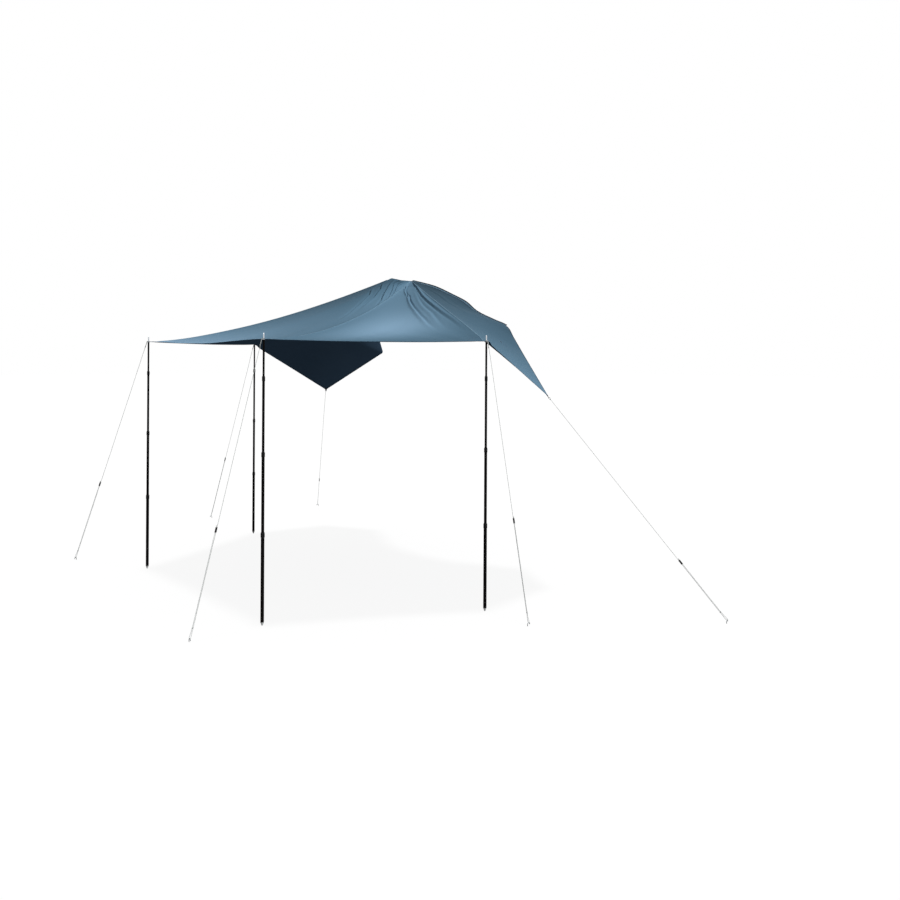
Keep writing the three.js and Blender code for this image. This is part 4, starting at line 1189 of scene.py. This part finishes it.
# the band's colours, across it: a dark inner line, two rows of stitches, and the dark piping
INNER_LINE, STITCH_ROWS, PIPING_FROM = 0.0035, (0.0055, 0.0215), 0.0240


def band_stations():
    """Places along the inner edge from left to right, each with its normal."""
    last = sum(1 for row in sheet_rows if row[0]["share"] <= BAND_LAST)
    left, right = ([(grid[i, column], sheet_normals[i, column]) for i in range(0, last, 2)]
                   for column in (0, -1))
    return [*reversed(left), (sheet_peak, UP), *right]


def make_band():
    stations = band_stations()
    spots = [at for at, _ in stations]
    normals = [unit(n) for _, n in stations]
    for _ in range(2):
        normals = [unit(sum(normals[max(0, k - 1) : k + 2])) for k in range(len(normals))]
    points, gone, metres, count = [], 0.0, [], len(BAND_SECTION)
    for k, (at, normal) in enumerate(zip(spots, normals)):
        along = unit(spots[min(k + 1, len(spots) - 1)] - spots[max(k - 1, 0)])
        out = unit(np.cross(normal, along))
        gone += float(np.linalg.norm(at - spots[k - 1])) if k else 0
        metres.append(gone)
        for reach, down in BAND_SECTION:
            points.append(at + out * (SEWN_GAP + reach) - normal * down)
    piece = mesh_piece("edge_band_looks", points, swept_faces(len(spots), count))
    uv = piece.data.uv_layers.new(name="cloth_metres")
    for loop in piece.data.loops:
        row, corner = divmod(loop.vertex_index, count)
        uv.data[loop.index].uv = (BAND_SECTION[corner][0], metres[row])
    only(piece)
    bpy.ops.object.mode_set(mode="EDIT")
    bpy.ops.mesh.select_all(action="SELECT")
    bpy.ops.mesh.normals_make_consistent(inside=False)
    bpy.ops.object.mode_set(mode="OBJECT")
    smooth_by(piece, 50)
    return piece


def band_polyester():
    """The band's cloth: darker than the canopy, with dark piping and two rows of stitches."""
    material, tree = new_material("doubled_polyester_band")
    uv, across, along = cloth_map(tree)
    space = put(tree, "ShaderNodeTexCoord").outputs["Object"]
    drift = put(tree, "ShaderNodeTexNoise", {"Vector": space, "Scale": 4.0, "Detail": 3.0})
    piping = put(tree, "ShaderNodeMath", {0: across, 1: PIPING_FROM}, operation="GREATER_THAN")
    dark = together(tree, piping, line_mask(tree, across, 0.0, INNER_LINE))
    stitch = together(tree, *(stitch_row(tree, across, row, along) for row in STITCH_ROWS))
    colour = painted(tree, "#3a5364", (drift.outputs["Fac"], "#466174"), (dark, "#182530"),
                     (stitch, "#7f98a8"))
    raised = put(tree, "ShaderNodeMath", {0: stitch, 1: STITCH_RISE,
                                          2: weave_height(tree, uv, THREAD)},
                 operation="MULTIPLY_ADD")
    finish(tree, colour, 0.72, raised, (0.25, 0.0004), {"IOR": 1.45, "Specular IOR Level": 0.25})
    return material


band = make_band()
dress(band, band_polyester(), "canopy_frame", "edge_band", slot="band_cloth")
print("edge band", [round(v, 3) for v in band.dimensions])

# %% [markdown]
# The strap at the peak and the tabs at the wing tips are black polyester webbing. Its ribs run
# across it every 1.4 mm, and its edges are bound a little thicker. The buckle is moulded nylon. Two
# press studs sit on the wings, each on its own doubled patch.

# %% Webbing, buckle and studs
RIB_STEP, THREAD_STEP = 0.0014, 0.0021


def black_webbing():
    material, tree = new_material("black_polyester_webbing")
    space = put(tree, "ShaderNodeTexCoord").outputs["Object"]
    ribs, threads = (put(tree, "ShaderNodeTexWave", {"Vector": space,
                                                     "Scale": math.pi / (10 * step)},
                         bands_direction=axis).outputs["Fac"]
                     for step, axis in ((RIB_STEP, "Y"), (THREAD_STEP, "X")))
    height = put(tree, "ShaderNodeMath", {0: threads, 1: 0.5, 2: ribs}, operation="MULTIPLY_ADD")
    shade = put(tree, "ShaderNodeMath", {0: height, 1: 0.6}, operation="MULTIPLY")
    finish(tree, painted(tree, "#101214", (shade, "#1e2124")), 0.75, height, (0.5, 0.0004),
           {"Specular IOR Level": 0.3})
    return material


def make_studs():
    """A press stud on each wing, square to the cloth."""
    stud = turned_piece("press_stud", [(0.0100, -0.0006), (0.0104, 0.0002), (0.0098, 0.0014),
                                       (0.0080, 0.0022), (0.0070, 0.0017), (0.0052, 0.0017),
                                       (0.0040, 0.0026), (0.0020, 0.0031), (0.0003, 0.0032)])
    smooth_by(stud, 50)
    row = min(range(len(sheet_rows)), key=lambda i: abs(sheet_rows[i][0]["share"] - STUD_SHARE))
    for side, turn in STUD_TURNS.items():
        column = min(range(columns), key=lambda j: abs(sheet_rows[row][j]["turn"] - turn))
        normal = sheet_normals[row, column]
        level = unit(np.cross(UP, normal))
        made = copied(stud, f"wing_{side}_stud", frame_matrix(cloth[row, column], level, normal))
        dress(made, nylon, "canopy_frame", slot="lock_plastic")
    bpy.data.objects.remove(stud)


webbing = black_webbing()
strap = dressed("peak_strap", "peak_strap_looks", 0.0006)
dress(strap, webbing, "canopy_frame", "peak_strap", slot="webbing")
buckle = dressed("peak_buckle", "peak_buckle_looks", 0.0010)
dress(buckle, nylon, "canopy_frame", "peak_buckle", slot="lock_plastic")
for side in ("left", "right"):
    tab = dressed(f"wing_{side}_tab", f"wing_{side}_tab_looks", 0.0005)
    dress(tab, webbing, "canopy_frame", f"wing_{side}_tab", slot="webbing")
make_studs()
print("strap, buckle, tabs and studs made")

# %% [markdown]
# The guy cords are braided polyester: strands that cross in a diamond pattern, light grey with a
# darker tracer. The braid is drawn from the cord's own UV map, which counts metres along it. Thin
# whippings close each loop, and a small overhand knot stops the tail above its runner.

# %% Cords, whippings and knots
BRAID_PITCH, STRAND_PAIRS, TRACER = 0.0048, 4.0, 0.93


def braided():
    material, tree = new_material("braided_polyester_cord")
    split = put(tree, "ShaderNodeSeparateXYZ",
                {0: put(tree, "ShaderNodeUVMap", uv_map="cord_metres")})
    strands = []
    for way in (1, -1):
        climb = put(tree, "ShaderNodeMath", {0: split.outputs["Y"], 1: way / BRAID_PITCH},
                    operation="MULTIPLY")
        phase = put(tree, "ShaderNodeMath", {0: split.outputs["X"], 1: STRAND_PAIRS, 2: climb},
                    operation="MULTIPLY_ADD")
        wave = put(tree, "ShaderNodeMath", {0: phase, 1: 2 * math.pi}, operation="MULTIPLY")
        strands.append(put(tree, "ShaderNodeMath", {0: wave}, operation="SINE"))
    braid = put(tree, "ShaderNodeMath", {0: strands[0], 1: strands[1]}, operation="MULTIPLY")
    shade = put(tree, "ShaderNodeMath", {0: braid, 1: 0.5, 2: 0.5}, operation="MULTIPLY_ADD")
    tracer = put(tree, "ShaderNodeMath", {0: strands[0], 1: TRACER}, operation="GREATER_THAN")
    colour = painted(tree, "#8d9290", (shade, "#b9bdbb"), (tracer, "#656c6c"))
    finish(tree, colour, 0.78, shade, (0.5, 0.0002), {"Sheen Weight": 0.1})
    return material


def make_knots(material):
    """A whipping for each loop, and a tail knot for each guy."""
    turns, pitch, thread, strand_gap, loop_gap = 6, 0.0013, 0.0006, 0.0039, 0.0068
    above_peg = 0.072

    def whipping(name, gap):
        """A coil of thin thread round two strands that lie that far apart."""
        wide, thin = gap / 2 + CORD + thread, CORD + thread
        coil = [(wide * math.cos(a), thin * math.sin(a), pitch * a / (2 * math.pi))
                for a in np.linspace(0, 2 * math.pi * turns, 20 * turns)]
        return tube_piece(name, coil, thread, sides=8)

    top_whipping = whipping("top_whipping", strand_gap)
    low_whipping = whipping("low_whipping", loop_gap)
    clover = [((math.sin(t) + 2 * math.sin(2 * t)) * 0.0011,
               (math.cos(t) - 2 * math.cos(2 * t)) * 0.0011, -math.sin(3 * t) * 0.0013)
              for t in np.linspace(0, 2 * math.pi, 72)]
    knot = tube_piece("tail_knot", clover, 0.0014, sides=10)
    for guy, run in runs.items():
        along, out = run["along"], run["out"]
        at, way = run["neck"]
        way = unit(way - along * np.dot(way, along))
        low = run["end"] - along * above_peg + out * loop_gap / 2
        for first, name, spot, x, z in ((knot, "tail_knot", run["tail"], out, -along),
                                        (low_whipping, "low_whipping", low, out, along),
                                        (top_whipping, "top_whipping", at, way, along)):
            made = copied(first, f"{guy}_{name}", frame_matrix(spot, x, z))
            dress(made, material, "canopy_frame", slot="cord_braid")
    for first in (top_whipping, low_whipping, knot):
        bpy.data.objects.remove(first)


braid = braided()
make_knots(braid)
for guy, piece in cords.items():
    dress(piece, braid, "canopy_frame", f"{guy}_cord", slot="cord_braid")
